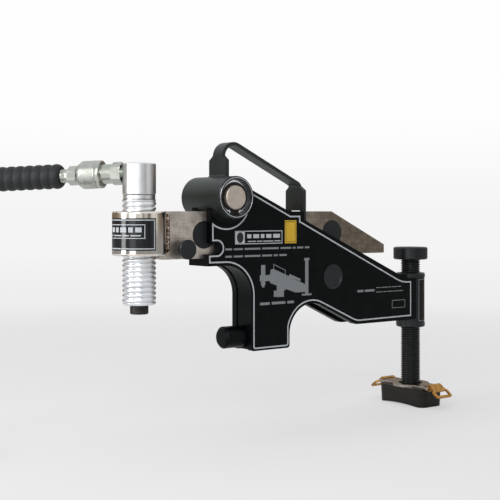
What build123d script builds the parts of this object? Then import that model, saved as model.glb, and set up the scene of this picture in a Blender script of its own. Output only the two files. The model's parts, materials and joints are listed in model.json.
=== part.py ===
from build123d import *
import os
from math import acos, atan2, cos, hypot, pi, radians, sin, sqrt, tan

# Flange alignment tool, in millimetres.
# Origin: the finger's axis where it leaves the column's face, which is where the flange rests.
# +X runs from the finger to the screw leg, +Z is up, -Y is the front side plate.

# Running fits and gaps
FIT = 0.05
SLIDE_GAP = 0.3

# Sliding arm: the wing bar, its collar, its discs and its stop pin
BAR_TOP = 172.0
BAR_THICK = 24.0
BAR_HEIGHT = 62.7
BAR_LENGTH = 424.0
BAR_TAIL_HEIGHT = 12.6
BAR_SLOPE_RUN = 106.0
BAR_HEEL_RADIUS = 5.0
ARM_REACH = 164.0
COLLAR_RADIUS = 34.75
COLLAR_HEIGHT = 57.0
COLLAR_EDGE = 3.0
COLLAR_WELD = 5.0
DISC_RADIUS = 18.5
DISC_DEPTH = 4.0
DISC_DROP = 31.3
DISC_REACH = (92.8, 318.9)
STOP_REACH = 58.0
STOP_DROP = 49.8
STOP_RADIUS = 7.0
STOP_HEAD_RADIUS = 13.0
STOP_HEAD_THICK = 4.2
NOTCH_X = -62.0

# Body: two side plates with the column, the guide plate and the handle between them
PLATE_THICK = 10.0
COLUMN_WIDTH = 67.0
COLUMN_DROP = 19.0
COLUMN_CORNER = 4.0
WEB_INSET = 1.5
FINGER_RADIUS = 15.0
FINGER_LENGTH = 35.0
FINGER_CHAMFER = 3.0
THROAT_RADIUS = 42.0
GUIDE_THICK = 10.0
NOSE_X = -67.5
TAB_X = -72.5
ARCH_RADIUS = 41.0
BELLY_X = 192.7
BELLY_Z = 5.5
BELLY_RADIUS = 15.0
PLATE_RISE = 29.6
TAIL_CORNER_X = 297.8
TAIL_X = 310.0
TAIL_TOP_Z = 69.0
TAIL_RADIUS = 18.0
TAIL_STEP = 3.0
NOSE_DROP = 14.0
SEAT_MEET = 18.0
SEAT_END_X = 94.0

# Roller tube with its pin, bushes and circlips
TUBE_X = -41.7
TUBE_RISE = 18.4
TUBE_RADIUS = 28.5
TUBE_BORE = 23.75
TUBE_HALF = 45.5
TUBE_EDGE = 1.2
TUBE_WELD = 8.0
BOSS_WELD_REACH = 11.0
BOSS_WELD_INSET = 1.5
PIN_RADIUS = 16.0
PIN_RECESS = 0.8
BUSH_RECESS = 7.0
BUSH_INNER_Y = 15.0
CLIP_THICK = 1.8
CLIP_WIDTH = 4.0
CLIP_GROOVE = 0.8
CLIP_GAP = 16.0
CLIP_LUG_RADIUS = 2.6
CLIP_LUG_INSET = 3.2
CLIP_LUG_OUT = 1.5
CLIP_EYE_RADIUS = 0.9
ROLLER_EDGE = 1.0

# Rear roller under the bar
AXLE_X = 147.7
AXLE_DROP = 32.0
AXLE_RADIUS = 18.0
AXLE_PROUD = 1.0
AXLE_RIM = 3.0
AXLE_DISH = 0.8
ROLLER_SIDE_GAP = 0.4

# Handle
HANDLE_THICK = 5.0
HANDLE_STRIP = 22.0
HANDLE_TAB = 40.0
HANDLE_FRONT_X = -41.0
HANDLE_TOP_RISE = 104.5
HANDLE_REAR_RISE = 40.0
HANDLE_FRONT_BEND = 20.0
HANDLE_REAR_BEND = 10.0
HANDLE_FRONT_TAB_RISE = 69.5
HANDLE_REAR_TAB_RISE = 30.0
HANDLE_SHOULDER = 6.0
HANDLE_TAB_AHEAD = 14.0
HANDLE_TAB_INSIDE = 25.0
HANDLE_TAB_BEYOND = 9.0

# Cylinder
BARREL_RADIUS = 21.7
BARREL_TOP_RISE = 15.0
BARREL_DROP = 120.0
BARREL_NECK_RADIUS = 20.4
BARREL_NECK = 8.0
BARREL_CHAMFER = 2.0
BORE_RADIUS = 14.35
GLAND_LENGTH = 8.0
WIPER_RADIUS = 15.5
WIPER_HEIGHT = 5.0
CAP_RADIUS = 21.5
CAP_TOP_RISE = 62.0
CAP_BASE_RISE = 21.5
CAP_EDGE = 1.5
CAP_FOOT_EDGE = 0.8
CAP_SPIGOT = 58.0
PLUNGER_RADIUS = 11.9
PLUNGER_PROUD = 12.0
PLUNGER_EXTEND = 25.0
PLUNGER_RETRACT = 9.0
PLUNGER_CHAMFER = 1.0
PISTON_LENGTH = 14.0
SEAL_WIDTH = 4.0
SEAL_DEPTH = 2.2
SPRING_BORE = 7.5
SPRING_RADIUS = 5.2
SPRING_WIRE = 1.1
SPRING_TURNS = 12
SPRING_POCKET = 8.0

# Coupler on the cap, measured outwards from the cylinder's axis
PORT_RISE = 50.0
PORT_HEADING = 129.0
PORT_DROOP = 2.2
PORT_RADIUS = 8.0
PORT_DEPTH = 9.0
OIL_DRILL = 2.5
HEX_START = 0.9
HEX_ACROSS = 26.0
HEX_LENGTH = 13.0
MALE_RADIUS = 12.7
MALE_LENGTH = 19.0
SLEEVE_RADIUS = 18.25
SLEEVE_LENGTH = 27.4
SLEEVE_OVERLAP = 4.6
SLEEVE_LIP = 2.0
SLEEVE_BORE = 14.6
BODY_CONE = 7.5
BODY_CONE_RADIUS = 15.6
BODY_CONE_END = 12.5
BODY_HEX_ACROSS = 22.0
BODY_HEX_LENGTH = 11.0
FERRULE_RADIUS = 9.3
FERRULE_LENGTH = 24.0
GRIP_INSET = 11.0
GRIP_LENGTH = 117.7
GRIP_BULGES = 9
GRIP_RADIUS = 16.4
GRIP_VALLEY = 14.4
GRIP_END = 12.9

# Hose and its far end
HOSE_RADIUS = 6.5
HOSE_EXIT = 40.0
COIL_X = -446.0
COIL_Y = 100.0
COIL_INNER = 49.5
COIL_OUTER = 104.0
COIL_EXIT = 99.2
END_LEAD = 10.0
END_FERRULE = 30.0
END_FERRULE_RADIUS = 9.5
END_HEX_ACROSS = 21.0
END_HEX_LENGTH = 10.0
END_NIPPLE_RADIUS = 8.0
END_NIPPLE = 14.0
END_CAP_RADIUS = 12.0
END_CAP = 22.0
END_CAP_EDGE = 2.0

# Leg: boss, screw, knob, ball, foot and strap hooks
LEG_X = 329.5
BOSS_RADIUS = 22.5
BOSS_TOP = 76.0
BOSS_BOTTOM = -8.0
BOSS_BAND_DEPTH = 0.8
BOSS_SHOULDER = 7.0
BOSS_EDGE = 1.5
SCREW_RADIUS = 15.0
SCREW_FIT = 0.1
SCREW_TOP = 97.0
SCREW_BOTTOM = -96.5
SCREW_SPIGOT_RADIUS = 11.0
SCREW_SPIGOT = 13.0
KNOB_RADIUS = 26.5
KNOB_HEIGHT = 19.0
KNOB_EDGE = 1.5
BALL_Z = -109.0
BALL_RADIUS = 9.0
STUD_RADIUS = 6.0
STUD_DEPTH = 22.0
CUP_WALL = 2.2
CUP_TOP = 4.0
FOOT_GAP = 0.3
FOOT_PLATE_TOP = -96.0
FOOT_PLATE_THICK = 4.0
FOOT_PLATE_RADIUS = 29.0
FOOT_HOLE = 18.5
RETAINER_TOP = 6.0
RETAINER_SLOPE = 3.0
RETAINER_LIP = 0.4
DOME_RADIUS = 22.0
DOME_WALL = 2.5
EAR_HALF_WIDTH = 17.0
EAR_BAR_Y = 50.0
EAR_BAR_RADIUS = 2.8
EAR_SLOT = 6.6
EAR_SLOT_HALF = 14.0
PAD_LENGTH = 96.0
PAD_WIDTH = 52.0
PAD_FOOT_INSET = 1.5
PAD_CORNER = 15.0
PAD_HEIGHT = 28.0
PAD_RELIEF = 6.0
PAD_SADDLE_RADIUS = 320.0
SADDLE_RISE = 2.5
PAD_EDGE = 4.0
HOOK_WIDTH = 24.0
HOOK_FOOT_WIDTH = 33.0
HOOK_NECK = 7.0
HOOK_FLARE = 5.0
HOOK_THICK = 2.4
HOOK_CURL = 3.2
HOOK_MOUTH = 1.5
HOOK_ROUND = 3.6
HOOK_LEAF = 25.0
HOOK_TILT = 38.0
HOOK_SLOT = 8.5
HOOK_SLOT_HALF = 12.5
HOOK_END_BAR = 4.0

# Places that follow from the sizes above
half_gap = BAR_THICK / 2 + SLIDE_GAP
half_width = half_gap + PLATE_THICK
arch_x = COLUMN_WIDTH + ARCH_RADIUS
bar_bottom = BAR_TOP - BAR_HEIGHT
bar_tail_x = BAR_LENGTH - ARM_REACH
disc_x = [reach - ARM_REACH for reach in DISC_REACH]
stop_x = STOP_REACH - ARM_REACH
top_at_origin = BAR_TOP + PLATE_RISE
top_fall = (top_at_origin - TAIL_TOP_Z) / TAIL_CORNER_X
axle_z = bar_bottom - AXLE_DROP
guide_top = bar_bottom - SLIDE_GAP
guide_bottom = guide_top - GUIDE_THICK
throat_z = guide_bottom - THROAT_RADIUS
tube_z = BAR_TOP + TUBE_RISE
collar_bottom = BAR_TOP - COLLAR_HEIGHT
stop_z = BAR_TOP - STOP_DROP
disc_z = BAR_TOP - DISC_DROP
barrel_top = BAR_TOP + BARREL_TOP_RISE
barrel_bottom = BAR_TOP - BARREL_DROP
cap_base = BAR_TOP + CAP_BASE_RISE
cap_top = BAR_TOP + CAP_TOP_RISE
gland_bottom = barrel_bottom + WIPER_HEIGHT + 1.0
gland_top = gland_bottom + GLAND_LENGTH
plunger_tip = barrel_bottom - PLUNGER_PROUD
piston_bottom = gland_top + PLUNGER_EXTEND + 0.5
piston_top = piston_bottom + PISTON_LENGTH
groove_high = TUBE_HALF - BUSH_RECESS + CLIP_THICK
groove_low = TUBE_HALF - BUSH_RECESS
front_roller_radius = TUBE_RISE - SLIDE_GAP
low_align = (Align.CENTER, Align.CENTER, Align.MIN)
spring_foot = plunger_tip + SPRING_POCKET
spring_top = cap_base - SPRING_POCKET
hex_start = CAP_RADIUS + HEX_START
male_end = hex_start + HEX_LENGTH + MALE_LENGTH
sleeve_start = male_end - SLEEVE_OVERLAP
sleeve_end = sleeve_start + SLEEVE_LENGTH
body_end = sleeve_end + SLIDE_GAP + BODY_CONE + BODY_HEX_LENGTH
grip_end = body_end + GRIP_INSET + GRIP_LENGTH
ground_z = FOOT_PLATE_TOP - FOOT_PLATE_THICK - PAD_HEIGHT
cavity = BALL_RADIUS + FIT + CUP_WALL + SLIDE_GAP
end_start_x = COIL_X - sqrt(COIL_OUTER ** 2 - COIL_EXIT ** 2) - END_LEAD
cylinder_place = Pos(-ARM_REACH, 0, 0)
leg_place = Pos(LEG_X, 0, 0)
port_place = Pos(-ARM_REACH, 0, BAR_TOP + PORT_RISE) * Rot(0, 0, PORT_HEADING) * Rot(0, 90 + PORT_DROOP, 0)
end_place = Pos(end_start_x, COIL_Y - COIL_EXIT, ground_z + END_CAP_RADIUS) * Rot(0, -90, 0)


# Small helpers

def turned(points):
    """A closed (radius, height) outline carried once round the Z axis."""
    return revolve(Plane.XZ * make_face(Polyline(*points, close=True)), Axis.Z)


def drum(radius, low, high):
    """A round bar along Z."""
    return Pos(0, 0, low) * Cylinder(radius, high - low, align=low_align)


def across(solid, x, z):
    """Lays a solid made along Z on an axis along Y through (x, z)."""
    return Pos(x, 0, z) * Rot(-90, 0, 0) * solid


def slab(face, low_y, high_y):
    """A side outline, drawn in X and Z, given its thickness in Y."""
    return extrude(Plane.XZ.offset(-high_y) * face, high_y - low_y)


def block(x0, x1, y0, y1, z0, z1):
    """A box between two corners."""
    return Pos((x0 + x1) / 2, (y0 + y1) / 2, (z0 + z1) / 2) * Box(x1 - x0, y1 - y0, z1 - z0)


def top_edge(x):
    """Height of the side plates' sloping top edge."""
    return top_at_origin - x * top_fall


# Side plates

def arch_tangent():
    """Point where the slope from the belly corner touches the arch's circle."""
    reach = hypot(BELLY_X - arch_x, BELLY_Z)
    turn = atan2(BELLY_Z, BELLY_X - arch_x) + acos(ARCH_RADIUS / reach)
    return (arch_x + ARCH_RADIUS * cos(turn), ARCH_RADIUS * sin(turn)), turn


def plate_outline():
    """The side plate's outline, from the tube round the nose, column, arch, belly, tail and slope."""
    tangent, turn = arch_tangent()
    half_turn = (turn + pi) / 2
    arch_mid = (arch_x + ARCH_RADIUS * cos(half_turn), ARCH_RADIUS * sin(half_turn))
    throat_mid = (-THROAT_RADIUS + THROAT_RADIUS * cos(pi / 4), throat_z + THROAT_RADIUS * sin(pi / 4))
    notch = STOP_RADIUS + SLIDE_GAP
    boss_meet = LEG_X - BOSS_RADIUS / 2
    seat_start_x = PLATE_RISE / top_fall
    tube_side_x = TUBE_X + SEAT_MEET
    line = [
        Polyline((TUBE_X, tube_z), (NOSE_X, tube_z - NOSE_DROP), (NOSE_X, stop_z + notch),
                 (NOTCH_X, stop_z + notch)),
        ThreePointArc((NOTCH_X, stop_z + notch), (NOTCH_X + notch, stop_z), (NOTCH_X, stop_z - notch)),
        Polyline((NOTCH_X, stop_z - notch), (TAB_X, stop_z - notch), (TAB_X, guide_bottom),
                 (-THROAT_RADIUS, guide_bottom)),
        ThreePointArc((-THROAT_RADIUS, guide_bottom), throat_mid, (0, throat_z)),
        Polyline((0, throat_z), (0, -COLUMN_DROP), (COLUMN_WIDTH, -COLUMN_DROP),
                 (COLUMN_WIDTH, 0)),
        ThreePointArc((COLUMN_WIDTH, 0), arch_mid, tangent),
        Polyline(tangent, (BELLY_X, BELLY_Z), (boss_meet, BELLY_Z), (boss_meet, TAIL_TOP_Z),
                 (TAIL_CORNER_X, TAIL_TOP_Z), (SEAT_END_X, top_edge(SEAT_END_X)), (SEAT_END_X, BAR_TOP),
                 (seat_start_x, BAR_TOP), (tube_side_x, top_edge(tube_side_x)), (TUBE_X, tube_z)),
    ]
    return make_face(line)


def softened_outline():
    """The outline with its concave and convex corners rounded as cut from plate."""
    face = plate_outline()
    rounds = [
        ((0, -COLUMN_DROP), COLUMN_CORNER),
        ((COLUMN_WIDTH, -COLUMN_DROP), COLUMN_CORNER),
        ((BELLY_X, BELLY_Z), BELLY_RADIUS),
        ((TAIL_CORNER_X, TAIL_TOP_Z), TAIL_RADIUS),
    ]
    for (x, z), radius in rounds:
        corner = [v for v in face.vertices() if hypot(v.X - x, v.Y - z) < 0.01]
        face = fillet(corner, radius)
    return face


def side_plate(front):
    """One side plate: its outline, bored for the tube and the rear axle and cut for the boss."""
    low = -half_width if front else half_gap
    plate = slab(softened_outline(), low, low + PLATE_THICK)
    plate -= across(drum(TUBE_RADIUS, -half_width - 1, half_width + 1), TUBE_X, tube_z)
    plate -= across(drum(AXLE_RADIUS, -half_width - 1, half_width + 1), AXLE_X, axle_z)
    plate -= leg_place * drum(BOSS_RADIUS, BELLY_Z - 1, TAIL_TOP_Z + 1)
    square_end = block(TAIL_X, LEG_X, -half_width - 1, -half_gap - TAIL_STEP, BELLY_Z - 1, TAIL_TOP_Z + 1)
    if not front:
        square_end = mirror(square_end, Plane.XZ)
    return plate - square_end


def boss_weld(front):
    """Weld that fills the corner between a plate's end and the round boss."""
    toe = TAIL_X + BOSS_WELD_REACH
    weld = block(TAIL_X, toe, -half_width + BOSS_WELD_INSET, -half_gap - TAIL_STEP, BELLY_Z, TAIL_TOP_Z)
    weld -= leg_place * drum(BOSS_RADIUS, BELLY_Z - 1, TAIL_TOP_Z + 1)
    solid = weld.solids().sort_by(Axis.X)[0]
    return solid if front else mirror(solid, Plane.XZ)


def guide_plate():
    """The plate under the bar: it stands on the column and closes the nose from below."""
    return block(TAB_X, COLUMN_WIDTH - 1, -half_gap, half_gap, guide_bottom, guide_top)


def hook_column():
    """The web between the plates and, on its face, the finger for the bolt hole."""
    arc = THROAT_RADIUS + WEB_INSET
    rise = guide_bottom - throat_z
    start_x = -THROAT_RADIUS + sqrt(arc ** 2 - rise ** 2)
    middle = atan2(rise, start_x + THROAT_RADIUS) / 2
    web_arc_mid = (-THROAT_RADIUS + arc * cos(middle), throat_z + arc * sin(middle))
    low = -COLUMN_DROP + WEB_INSET
    right = COLUMN_WIDTH - WEB_INSET
    face = make_face([
        ThreePointArc((start_x, guide_bottom), web_arc_mid, (WEB_INSET, throat_z)),
        Polyline((WEB_INSET, throat_z), (WEB_INSET, low), (right, low), (right, guide_bottom),
                 (start_x, guide_bottom)),
    ])
    web = slab(face, -half_gap, half_gap)
    finger = chamfer(drum(FINGER_RADIUS, 0, FINGER_LENGTH).edges().sort_by(Axis.Z)[-1], FINGER_CHAMFER)
    finger = Rot(0, -90, 0) * finger
    root = Rot(0, 90, 0) * drum(half_gap, 0, WEB_INSET)
    return web + root + finger


# Roller tube

def roller_tube():
    """Thick tube across the body, cut flat over the sliding bar."""
    ring = turned([(TUBE_BORE, -TUBE_HALF), (TUBE_RADIUS - TUBE_EDGE, -TUBE_HALF),
                   (TUBE_RADIUS, -TUBE_HALF + TUBE_EDGE), (TUBE_RADIUS, TUBE_HALF - TUBE_EDGE),
                   (TUBE_RADIUS - TUBE_EDGE, TUBE_HALF), (TUBE_BORE, TUBE_HALF)])
    groove = turned([(TUBE_BORE - 1, groove_low), (TUBE_BORE + CLIP_GROOVE, groove_low),
                     (TUBE_BORE + CLIP_GROOVE, groove_high), (TUBE_BORE - 1, groove_high)])
    tube = across(ring - groove - mirror(groove, Plane.XY), TUBE_X, tube_z)
    reach = TUBE_RADIUS + 1
    return tube - block(TUBE_X - reach, TUBE_X + reach, -half_gap, half_gap, tube_z - reach,
                        BAR_TOP + SLIDE_GAP)


def tube_weld(front):
    """Fillet weld round the tube, only where the side plate backs it."""
    outer = TUBE_RADIUS + TUBE_WELD
    ring = turned([(TUBE_RADIUS, half_width), (outer, half_width), (TUBE_RADIUS, half_width + TUBE_WELD)])
    ring = across(ring, TUBE_X, tube_z)
    backing = slab(softened_outline(), half_width, half_width + TUBE_WELD)
    weld = ring & backing
    return mirror(weld, Plane.XZ) if front else weld


def tube_bush():
    """Plain bearing that fills the tube's bore round the pin, rear one."""
    inner = PIN_RADIUS + FIT
    end = TUBE_HALF - BUSH_RECESS
    profile = [(inner, BUSH_INNER_Y), (TUBE_BORE, BUSH_INNER_Y), (TUBE_BORE, end), (inner, end)]
    return across(turned(profile), TUBE_X, tube_z)


def circlip():
    """Internal ring with two lugs and a gap at its foot, rear one."""
    outer = TUBE_BORE + CLIP_GROOVE
    ring = drum(outer, groove_low, groove_high) - drum(outer - CLIP_WIDTH, groove_low - 1, groove_high + 1)
    ring = across(ring, 0, 0)
    gap = block(-CLIP_GAP / 2, CLIP_GAP / 2, 0, TUBE_HALF, -outer - 1, -PIN_RADIUS)
    ring -= gap
    for side in (-1, 1):
        lug_x = side * (CLIP_GAP / 2 + CLIP_LUG_OUT)
        lug_z = -sqrt((outer - CLIP_LUG_INSET) ** 2 - lug_x ** 2)
        lug = across(drum(CLIP_LUG_RADIUS, groove_low, groove_high), lug_x, lug_z)
        eye = across(drum(CLIP_EYE_RADIUS, groove_low - 1, groove_high + 1), lug_x, lug_z)
        ring = ring + lug - eye
    return Pos(TUBE_X, 0, tube_z) * ring


def roller_pin():
    """Front roller: two journals and a thicker middle that bears on the bar."""
    end = TUBE_HALF - PIN_RECESS
    shoulder = half_gap - SLIDE_GAP
    edge = ROLLER_EDGE
    profile = [(0, -end), (PIN_RADIUS - edge, -end), (PIN_RADIUS, -end + edge), (PIN_RADIUS, -shoulder),
               (front_roller_radius, -shoulder), (front_roller_radius, shoulder), (PIN_RADIUS, shoulder),
               (PIN_RADIUS, end - edge), (PIN_RADIUS - edge, end), (0, end)]
    return across(turned(profile), TUBE_X, tube_z)


# Rear roller

def rear_axle():
    """Axle through both plates with a shallow dish in each end."""
    end = half_width + AXLE_PROUD
    floor = end - AXLE_DISH
    dish = AXLE_RADIUS - AXLE_RIM
    rim = dish + AXLE_DISH
    profile = [(0, -floor), (dish, -floor), (rim, -end), (AXLE_RADIUS, -end),
               (AXLE_RADIUS, end), (rim, end), (dish, floor), (0, floor)]
    return across(turned(profile), AXLE_X, axle_z)


def rear_roller():
    """Roller under the bar that takes the arm's reaction."""
    radius = AXLE_DROP - SLIDE_GAP
    half = half_gap - ROLLER_SIDE_GAP
    edge = ROLLER_EDGE
    profile = [(AXLE_RADIUS + FIT, -half), (radius - edge, -half), (radius, -half + edge),
               (radius, half - edge), (radius - edge, half), (AXLE_RADIUS + FIT, half)]
    return across(turned(profile), AXLE_X, axle_z)


# Handle

def handle():
    """Flat strip bent into a carrying handle, with wide tabs welded to tube and plates."""
    half = HANDLE_THICK / 2
    front_x = HANDLE_FRONT_X + half
    rear_x = SEAT_END_X + half
    top_z = BAR_TOP + HANDLE_TOP_RISE - half
    knee_z = BAR_TOP + HANDLE_REAR_RISE - half
    path = FilletPolyline((front_x, tube_z), (front_x, top_z), (rear_x, knee_z),
                          (rear_x, top_edge(SEAT_END_X + HANDLE_THICK)),
                          radius=[HANDLE_FRONT_BEND - half, HANDLE_REAR_BEND])
    side = slab(make_face(offset(path, half, kind=Kind.INTERSECTION)), -HANDLE_TAB / 2, HANDLE_TAB / 2)
    side -= across(drum(TUBE_RADIUS, -TUBE_HALF, TUBE_HALF), TUBE_X, tube_z)
    front_end = front_x + HANDLE_TAB_AHEAD
    rear_start = rear_x - HANDLE_TAB_INSIDE
    high = top_z + HANDLE_THICK
    beside = tab_cut(front_x - HANDLE_TAB_BEYOND, front_end, BAR_TOP + HANDLE_FRONT_TAB_RISE)
    beside += tab_cut(rear_start, rear_x + HANDLE_TAB_BEYOND, BAR_TOP + HANDLE_REAR_TAB_RISE)
    beside += block(front_end, rear_start, HANDLE_STRIP / 2, HANDLE_TAB / 2 + 1, BAR_TOP, high)
    side -= beside
    side -= mirror(beside, Plane.XZ)
    near = rear_x - HANDLE_THICK
    far = rear_x + HANDLE_THICK
    low = BAR_TOP - HANDLE_REAR_RISE
    below = make_face(Polyline((near, top_edge(near)), (far, top_edge(far)), (far, low), (near, low),
                               close=True))
    slot = block(near, far, -half_gap, half_gap, low, BAR_TOP + 1)
    return side - slab(below, -HANDLE_TAB, HANDLE_TAB) - slot


def tab_cut(x0, x1, tab_top):
    """What is cut beside the narrow strip over a tab, with the tab's sloping shoulder."""
    strip = HANDLE_STRIP / 2
    wide = HANDLE_TAB / 2 + 1
    face = Plane.YZ * make_face(Polyline((strip, tab_top + HANDLE_SHOULDER), (wide, tab_top - 1),
                                         (wide, BAR_TOP + HANDLE_TOP_RISE + 5),
                                         (strip, BAR_TOP + HANDLE_TOP_RISE + 5), close=True))
    return Pos(x0, 0, 0) * extrude(face, x1 - x0)


# Sliding arm

def wing_bar():
    """The arm's bar: full height by the collar, sloping down to its tail."""
    left = -ARM_REACH + BARREL_RADIUS + 1
    face = make_face(Polyline(
        (left, bar_bottom), (bar_tail_x, bar_bottom), (bar_tail_x, bar_bottom + BAR_TAIL_HEIGHT),
        (bar_tail_x - BAR_SLOPE_RUN, BAR_TOP), (left, BAR_TOP), close=True))
    heel = [v for v in face.vertices() if hypot(v.X - left, v.Y - bar_bottom) < 0.01]
    bar = slab(fillet(heel, BAR_HEEL_RADIUS), -BAR_THICK / 2, BAR_THICK / 2)
    bar -= cylinder_place * drum(COLLAR_RADIUS, collar_bottom, BAR_TOP + 1)
    bar -= across(drum(STOP_RADIUS, -BAR_THICK, BAR_THICK), stop_x, stop_z)
    for x in disc_x:
        for y in (-BAR_THICK / 2, BAR_THICK / 2 - DISC_DEPTH):
            bar -= across(drum(DISC_RADIUS, y, y + DISC_DEPTH), x, disc_z)
    return bar


def slide_disc(x, front):
    """Black low-friction disc let flush into the bar's face."""
    face_y = -BAR_THICK / 2 if front else BAR_THICK / 2 - DISC_DEPTH
    return across(drum(DISC_RADIUS, face_y, face_y + DISC_DEPTH), x, disc_z)


def stop_pin():
    """Cross pin through the bar, with a round head outside each side plate."""
    inner = half_width + 2 * SLIDE_GAP
    outer = inner + STOP_HEAD_THICK
    half = [(0, 0), (STOP_RADIUS, 0), (STOP_RADIUS, inner), (STOP_HEAD_RADIUS, inner),
            (STOP_HEAD_RADIUS, outer - 1), (STOP_HEAD_RADIUS - 1, outer), (0, outer)]
    rear = turned(half)
    return across(rear + mirror(rear, Plane.XY), stop_x, stop_z)


def cylinder_collar():
    """Threaded ring on the arm's end that carries the cylinder."""
    edge = COLLAR_EDGE
    ring = drum(COLLAR_RADIUS, collar_bottom, BAR_TOP)
    rims = ring.edges().filter_by(GeomType.CIRCLE)
    ring = fillet(rims, edge)
    return cylinder_place * (ring - drum(BARREL_RADIUS + 2 * FIT, collar_bottom - 1, BAR_TOP + 1))


def collar_weld():
    """Vertical weld beads in the corners between the collar and the bar."""
    side_y = BAR_THICK / 2
    root_x = sqrt(COLLAR_RADIUS ** 2 - side_y ** 2)
    bead = make_face(Polyline((root_x - 3, side_y), (root_x + COLLAR_WELD, side_y),
                              (root_x - 3, side_y + COLLAR_WELD), close=True))
    bead = Pos(0, 0, collar_bottom + COLLAR_EDGE) * extrude(bead, COLLAR_HEIGHT - 2 * COLLAR_EDGE)
    bead = (bead - drum(COLLAR_RADIUS, 0, BAR_TOP + 1)).solids().sort_by(Axis.X)[-1]
    return cylinder_place * (Part() + [bead, mirror(bead, Plane.XZ)])


# Cylinder

def cylinder_barrel():
    """Barrel with a plain bore, a bearing at its foot and a pocket for the wiper."""
    bearing = PLUNGER_RADIUS + FIT
    pocket = WIPER_RADIUS + FIT
    foot = BARREL_RADIUS - BARREL_CHAMFER
    profile = [(BORE_RADIUS, gland_top), (bearing, gland_top), (bearing, gland_bottom),
               (pocket, gland_bottom), (pocket, barrel_bottom), (foot, barrel_bottom),
               (BARREL_RADIUS, barrel_bottom + BARREL_CHAMFER), (BARREL_RADIUS, barrel_top),
               (BARREL_NECK_RADIUS, barrel_top), (BARREL_NECK_RADIUS, cap_base), (BORE_RADIUS, cap_base)]
    return cylinder_place * turned(profile)


def rod_wiper():
    """Ring in the barrel's mouth that wipes the plunger."""
    low = barrel_bottom + 0.5
    lip = PLUNGER_RADIUS + FIT
    profile = [(lip, low + 1), (lip + 1, low), (WIPER_RADIUS, low),
               (WIPER_RADIUS, low + WIPER_HEIGHT), (lip, low + WIPER_HEIGHT)]
    return cylinder_place * turned(profile)


def cylinder_cap():
    """Round cap with a spigot down the bore, a cavity for the spring and the oil port."""
    spigot_end = cap_base - CAP_SPIGOT
    profile = [(SPRING_BORE, spigot_end), (BORE_RADIUS, spigot_end), (BORE_RADIUS, cap_base),
               (CAP_RADIUS - CAP_FOOT_EDGE, cap_base), (CAP_RADIUS, cap_base + CAP_FOOT_EDGE),
               (CAP_RADIUS, cap_top - CAP_EDGE), (CAP_RADIUS - CAP_EDGE, cap_top),
               (0, cap_top), (0, spring_top + 1), (SPRING_BORE, spring_top + 1)]
    cap = cylinder_place * turned(profile)
    cap -= port_place * drum(PORT_RADIUS, CAP_RADIUS - PORT_DEPTH, CAP_RADIUS + 3)
    return cap - port_place * drum(OIL_DRILL, 0, CAP_RADIUS)


def plunger():
    """Hollow plunger with its piston, reaching from the oil down to the flange."""
    seal_low = piston_bottom + (PISTON_LENGTH - SEAL_WIDTH) / 2
    seal_high = seal_low + SEAL_WIDTH
    piston = BORE_RADIUS - FIT
    groove = piston - SEAL_DEPTH
    tip = plunger_tip
    profile = [(0, tip), (PLUNGER_RADIUS - PLUNGER_CHAMFER, tip),
               (PLUNGER_RADIUS, tip + PLUNGER_CHAMFER), (PLUNGER_RADIUS, piston_bottom),
               (piston, piston_bottom), (piston, seal_low), (groove, seal_low),
               (groove, seal_high), (piston, seal_high), (piston, piston_top), (SPRING_BORE, piston_top),
               (SPRING_BORE, spring_foot), (0, spring_foot)]
    return cylinder_place * turned(profile)


def piston_seal():
    """Ring in the piston's groove."""
    outer = BORE_RADIUS - FIT
    low = piston_bottom + (PISTON_LENGTH - SEAL_WIDTH) / 2
    profile = [(outer - SEAL_DEPTH, low), (outer, low + 0.5), (outer, low + SEAL_WIDTH - 0.5),
               (outer - SEAL_DEPTH, low + SEAL_WIDTH)]
    return cylinder_place * turned(profile)


def return_spring():
    """Pull spring from the cap to the plunger's foot."""
    height = spring_top - spring_foot - 2 * SPRING_WIRE
    path = Helix(pitch=height / SPRING_TURNS, height=height, radius=SPRING_RADIUS)
    coil = sweep(Plane(origin=path @ 0, z_dir=path % 0) * Circle(SPRING_WIRE), path, is_frenet=True)
    return cylinder_place * Pos(0, 0, spring_foot + SPRING_WIRE) * coil


# Coupler, made along Z and laid along the port's line

def male_coupler():
    """Nipple screwed into the cap: thread, hexagon and plain tube."""
    hex_end = hex_start + HEX_LENGTH
    flat = HEX_ACROSS / 2
    corner = flat / cos(pi / 6)
    hexagon = Pos(0, 0, hex_start) * extrude(RegularPolygon(flat, 6, major_radius=False), HEX_LENGTH)
    hexagon &= turned([(0, hex_start), (flat + 0.3, hex_start), (corner, hex_start + 1),
                       (corner, hex_end - 1), (flat + 0.3, hex_end), (0, hex_end)])
    thread = drum(PORT_RADIUS, CAP_RADIUS - PORT_DEPTH, hex_start + 1)
    tube = drum(MALE_RADIUS, hex_end - 1, male_end)
    return port_place * (hexagon + thread + tube)


def coupler_body():
    """Female half inside the sleeve, with its cone and its hexagon."""
    cone_low = sleeve_end + SLIDE_GAP
    cone_high = cone_low + BODY_CONE
    inside = SLEEVE_BORE - 2 * FIT
    profile = [(0, male_end), (inside, male_end), (inside, cone_low), (BODY_CONE_RADIUS, cone_low),
               (BODY_CONE_RADIUS, cone_low + BODY_CONE / 3), (BODY_CONE_END, cone_high - BODY_CONE / 6),
               (BODY_CONE_END, cone_high), (0, cone_high)]
    hexagon = Pos(0, 0, cone_high) * extrude(RegularPolygon(BODY_HEX_ACROSS / 2, 6, major_radius=False),
                                             BODY_HEX_LENGTH)
    return port_place * (turned(profile) + hexagon)


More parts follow.
